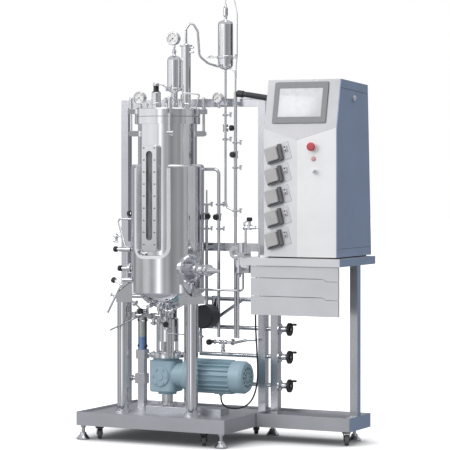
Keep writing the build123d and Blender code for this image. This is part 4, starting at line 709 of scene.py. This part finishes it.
BOX_SHARE, BOX_COLOR = 0.8, (0.95, 0.955, 0.97)          # how far it hides the wall behind it
CEILING = (0.14, 0.50)                   # sines of the elevation over which the walls turn into the ceiling

scene = bpy.context.scene
scene.world = bpy.data.worlds.new("studio")
scene.world.use_nodes = True
tree = scene.world.node_tree
tree.nodes.clear()
coords = tree.nodes.new("ShaderNodeTexCoord")
way = add(tree, "ShaderNodeSeparateXYZ", Vector=coords.outputs["Generated"]).outputs
bearing = computed(tree, "ARCTAN2", way["X"], computed(tree, "MULTIPLY", way["Y"], -1))
rays = tree.nodes.new("ShaderNodeLightPath").outputs

ramp = add(tree, "ShaderNodeValToRGB", Fac=remap(tree, bearing, 0, 1, -math.pi, math.pi))
stops = ramp.color_ramp.elements
while len(stops) > 1:
    stops.remove(stops[-1])
for i, (degrees, level) in enumerate(STUDIO):
    place = (degrees + 180) / 360
    stop = stops[0] if i == 0 else stops.new(place)
    stop.position = place
    red, green, blue = WALL_TINT
    stop.color = (level * red, level * green, level * (BACK_BLUE if abs(degrees) > BACK_FROM else blue), 1)

# A tall soft box left of the camera, whose lower edge is just under eye height.
from_left = remap(tree, bearing, 0, 1, *map(math.radians, BOX_LEFT))
from_right = remap(tree, bearing, 1, 0, *map(math.radians, BOX_RIGHT))
above = remap(tree, way["Z"], 0, BOX_SHARE, *BOX_FOOT)
in_box = computed(tree, "MULTIPLY", computed(tree, "MULTIPLY", from_left, from_right), above)
walls = mixed(tree, in_box, ramp.outputs["Color"], BOX_COLOR)

# The ceiling lights matt faces fully but looks grey in polished ones.
ceiling = mixed(tree, rays["Is Glossy Ray"], (1.0, 1.0, 1.0), (0.56, 0.57, 0.59))
room = mixed(tree, remap(tree, way["Z"], 0, 1, *CEILING), walls, ceiling)
studio = add(tree, "ShaderNodeBackground", Color=room).outputs["Background"]
white = add(tree, "ShaderNodeBackground", Color=(1, 1, 1)).outputs["Background"]
backdrop = blend_shaders(tree, rays["Is Camera Ray"], studio, white)
add(tree, "ShaderNodeOutputWorld", Surface=backdrop)


# ------------------------------------------------------------------ lights
def soft_light(name, place, target, size, power):
    data = bpy.data.lights.new(name, "AREA")
    data.shape = "RECTANGLE"
    data.size, data.size_y = size
    data.energy = power
    obj = bpy.data.objects.new(name, data)
    obj.location = place
    obj.rotation_euler = (Vector(target) - Vector(place)).to_track_quat("-Z", "Y").to_euler()
    bpy.context.collection.objects.link(obj)


soft_light("key", (-2.2, -4.6, 3.4), (0, 0, 0.9), (2.4, 2.0), 70)
soft_light("top", (0.3, -0.6, 5.2), (0, 0, 0.8), (3.4, 3.4), 40)

# ------------------------------------------------------------------ floor
FLOOR_HALF, FLOOR_DROP = 40.0, 0.0005    # metres: half its width, and how far it lies below the feet
FLOOR_FADE = (1.3, 2.6)                  # distances from the middle over which its reflections fade out
SHADE_REACH, SHADE_POWER = 0.30, 1.6     # contact shade under the trays

# The camera sees a lit white sheet with soft contact shade. The steel sees plain mid grey that fades out.
floor_material, tree, shader = new_material("studio_floor", (0.30, 0.31, 0.33))
shader.inputs["Roughness"].default_value = 0.9
broad = noise(tree, texture_space(tree), 0.6, 2.0)
grey = mixed(tree, remap(tree, broad, 0, 1), (0.27, 0.28, 0.30), (0.31, 0.32, 0.34))
tree.links.new(grey, shader.inputs["Base Color"])
ground = tree.nodes.new("ShaderNodeTexCoord").outputs["Object"]
reach = add(tree, "ShaderNodeVectorMath", operation="LENGTH", Vector=ground).outputs["Value"]
open_air = tree.nodes.new("ShaderNodeBsdfTransparent").outputs["BSDF"]
seen_by_steel = blend_shaders(tree, remap(tree, reach, 0, 1, *FLOOR_FADE), shader.outputs["BSDF"], open_air)

nearness = add(tree, "ShaderNodeAmbientOcclusion", Distance=SHADE_REACH, samples=8).outputs["AO"]
openness = computed(tree, "POWER", nearness, SHADE_POWER)
sheet_color = mixed(tree, openness, (0.40, 0.41, 0.43), (0.93, 0.93, 0.93))
sheet = add(tree, "ShaderNodeBsdfDiffuse", Color=sheet_color).outputs["BSDF"]
glow_level = remap(tree, openness, 0.02, 0.45, 0.0, 1.0)
glow = add(tree, "ShaderNodeEmission", Color=(1, 1, 1), Strength=glow_level).outputs["Emission"]
lit_sheet = tree.nodes.new("ShaderNodeAddShader")
tree.links.new(sheet, lit_sheet.inputs[0])
tree.links.new(glow, lit_sheet.inputs[1])
camera_ray = tree.nodes.new("ShaderNodeLightPath").outputs["Is Camera Ray"]
floor_shader = blend_shaders(tree, camera_ray, seen_by_steel, lit_sheet.outputs["Shader"])
tree.links.new(floor_shader, tree.nodes["Material Output"].inputs["Surface"])

bm = bmesh.new()
bmesh.ops.create_grid(bm, x_segments=8, y_segments=8, size=FLOOR_HALF)
data = bpy.data.meshes.new("studio_floor")
bm.to_mesh(data)
bm.free()
data.materials.append(floor_material)
floor = bpy.data.objects.new("studio_floor", data)
floor.location = (0, 0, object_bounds()[0][2] - FLOOR_DROP)
bpy.context.collection.objects.link(floor)

scene.view_settings.view_transform = "Standard"
scene.view_settings.look = "None"

bpy.context.view_layer.update()
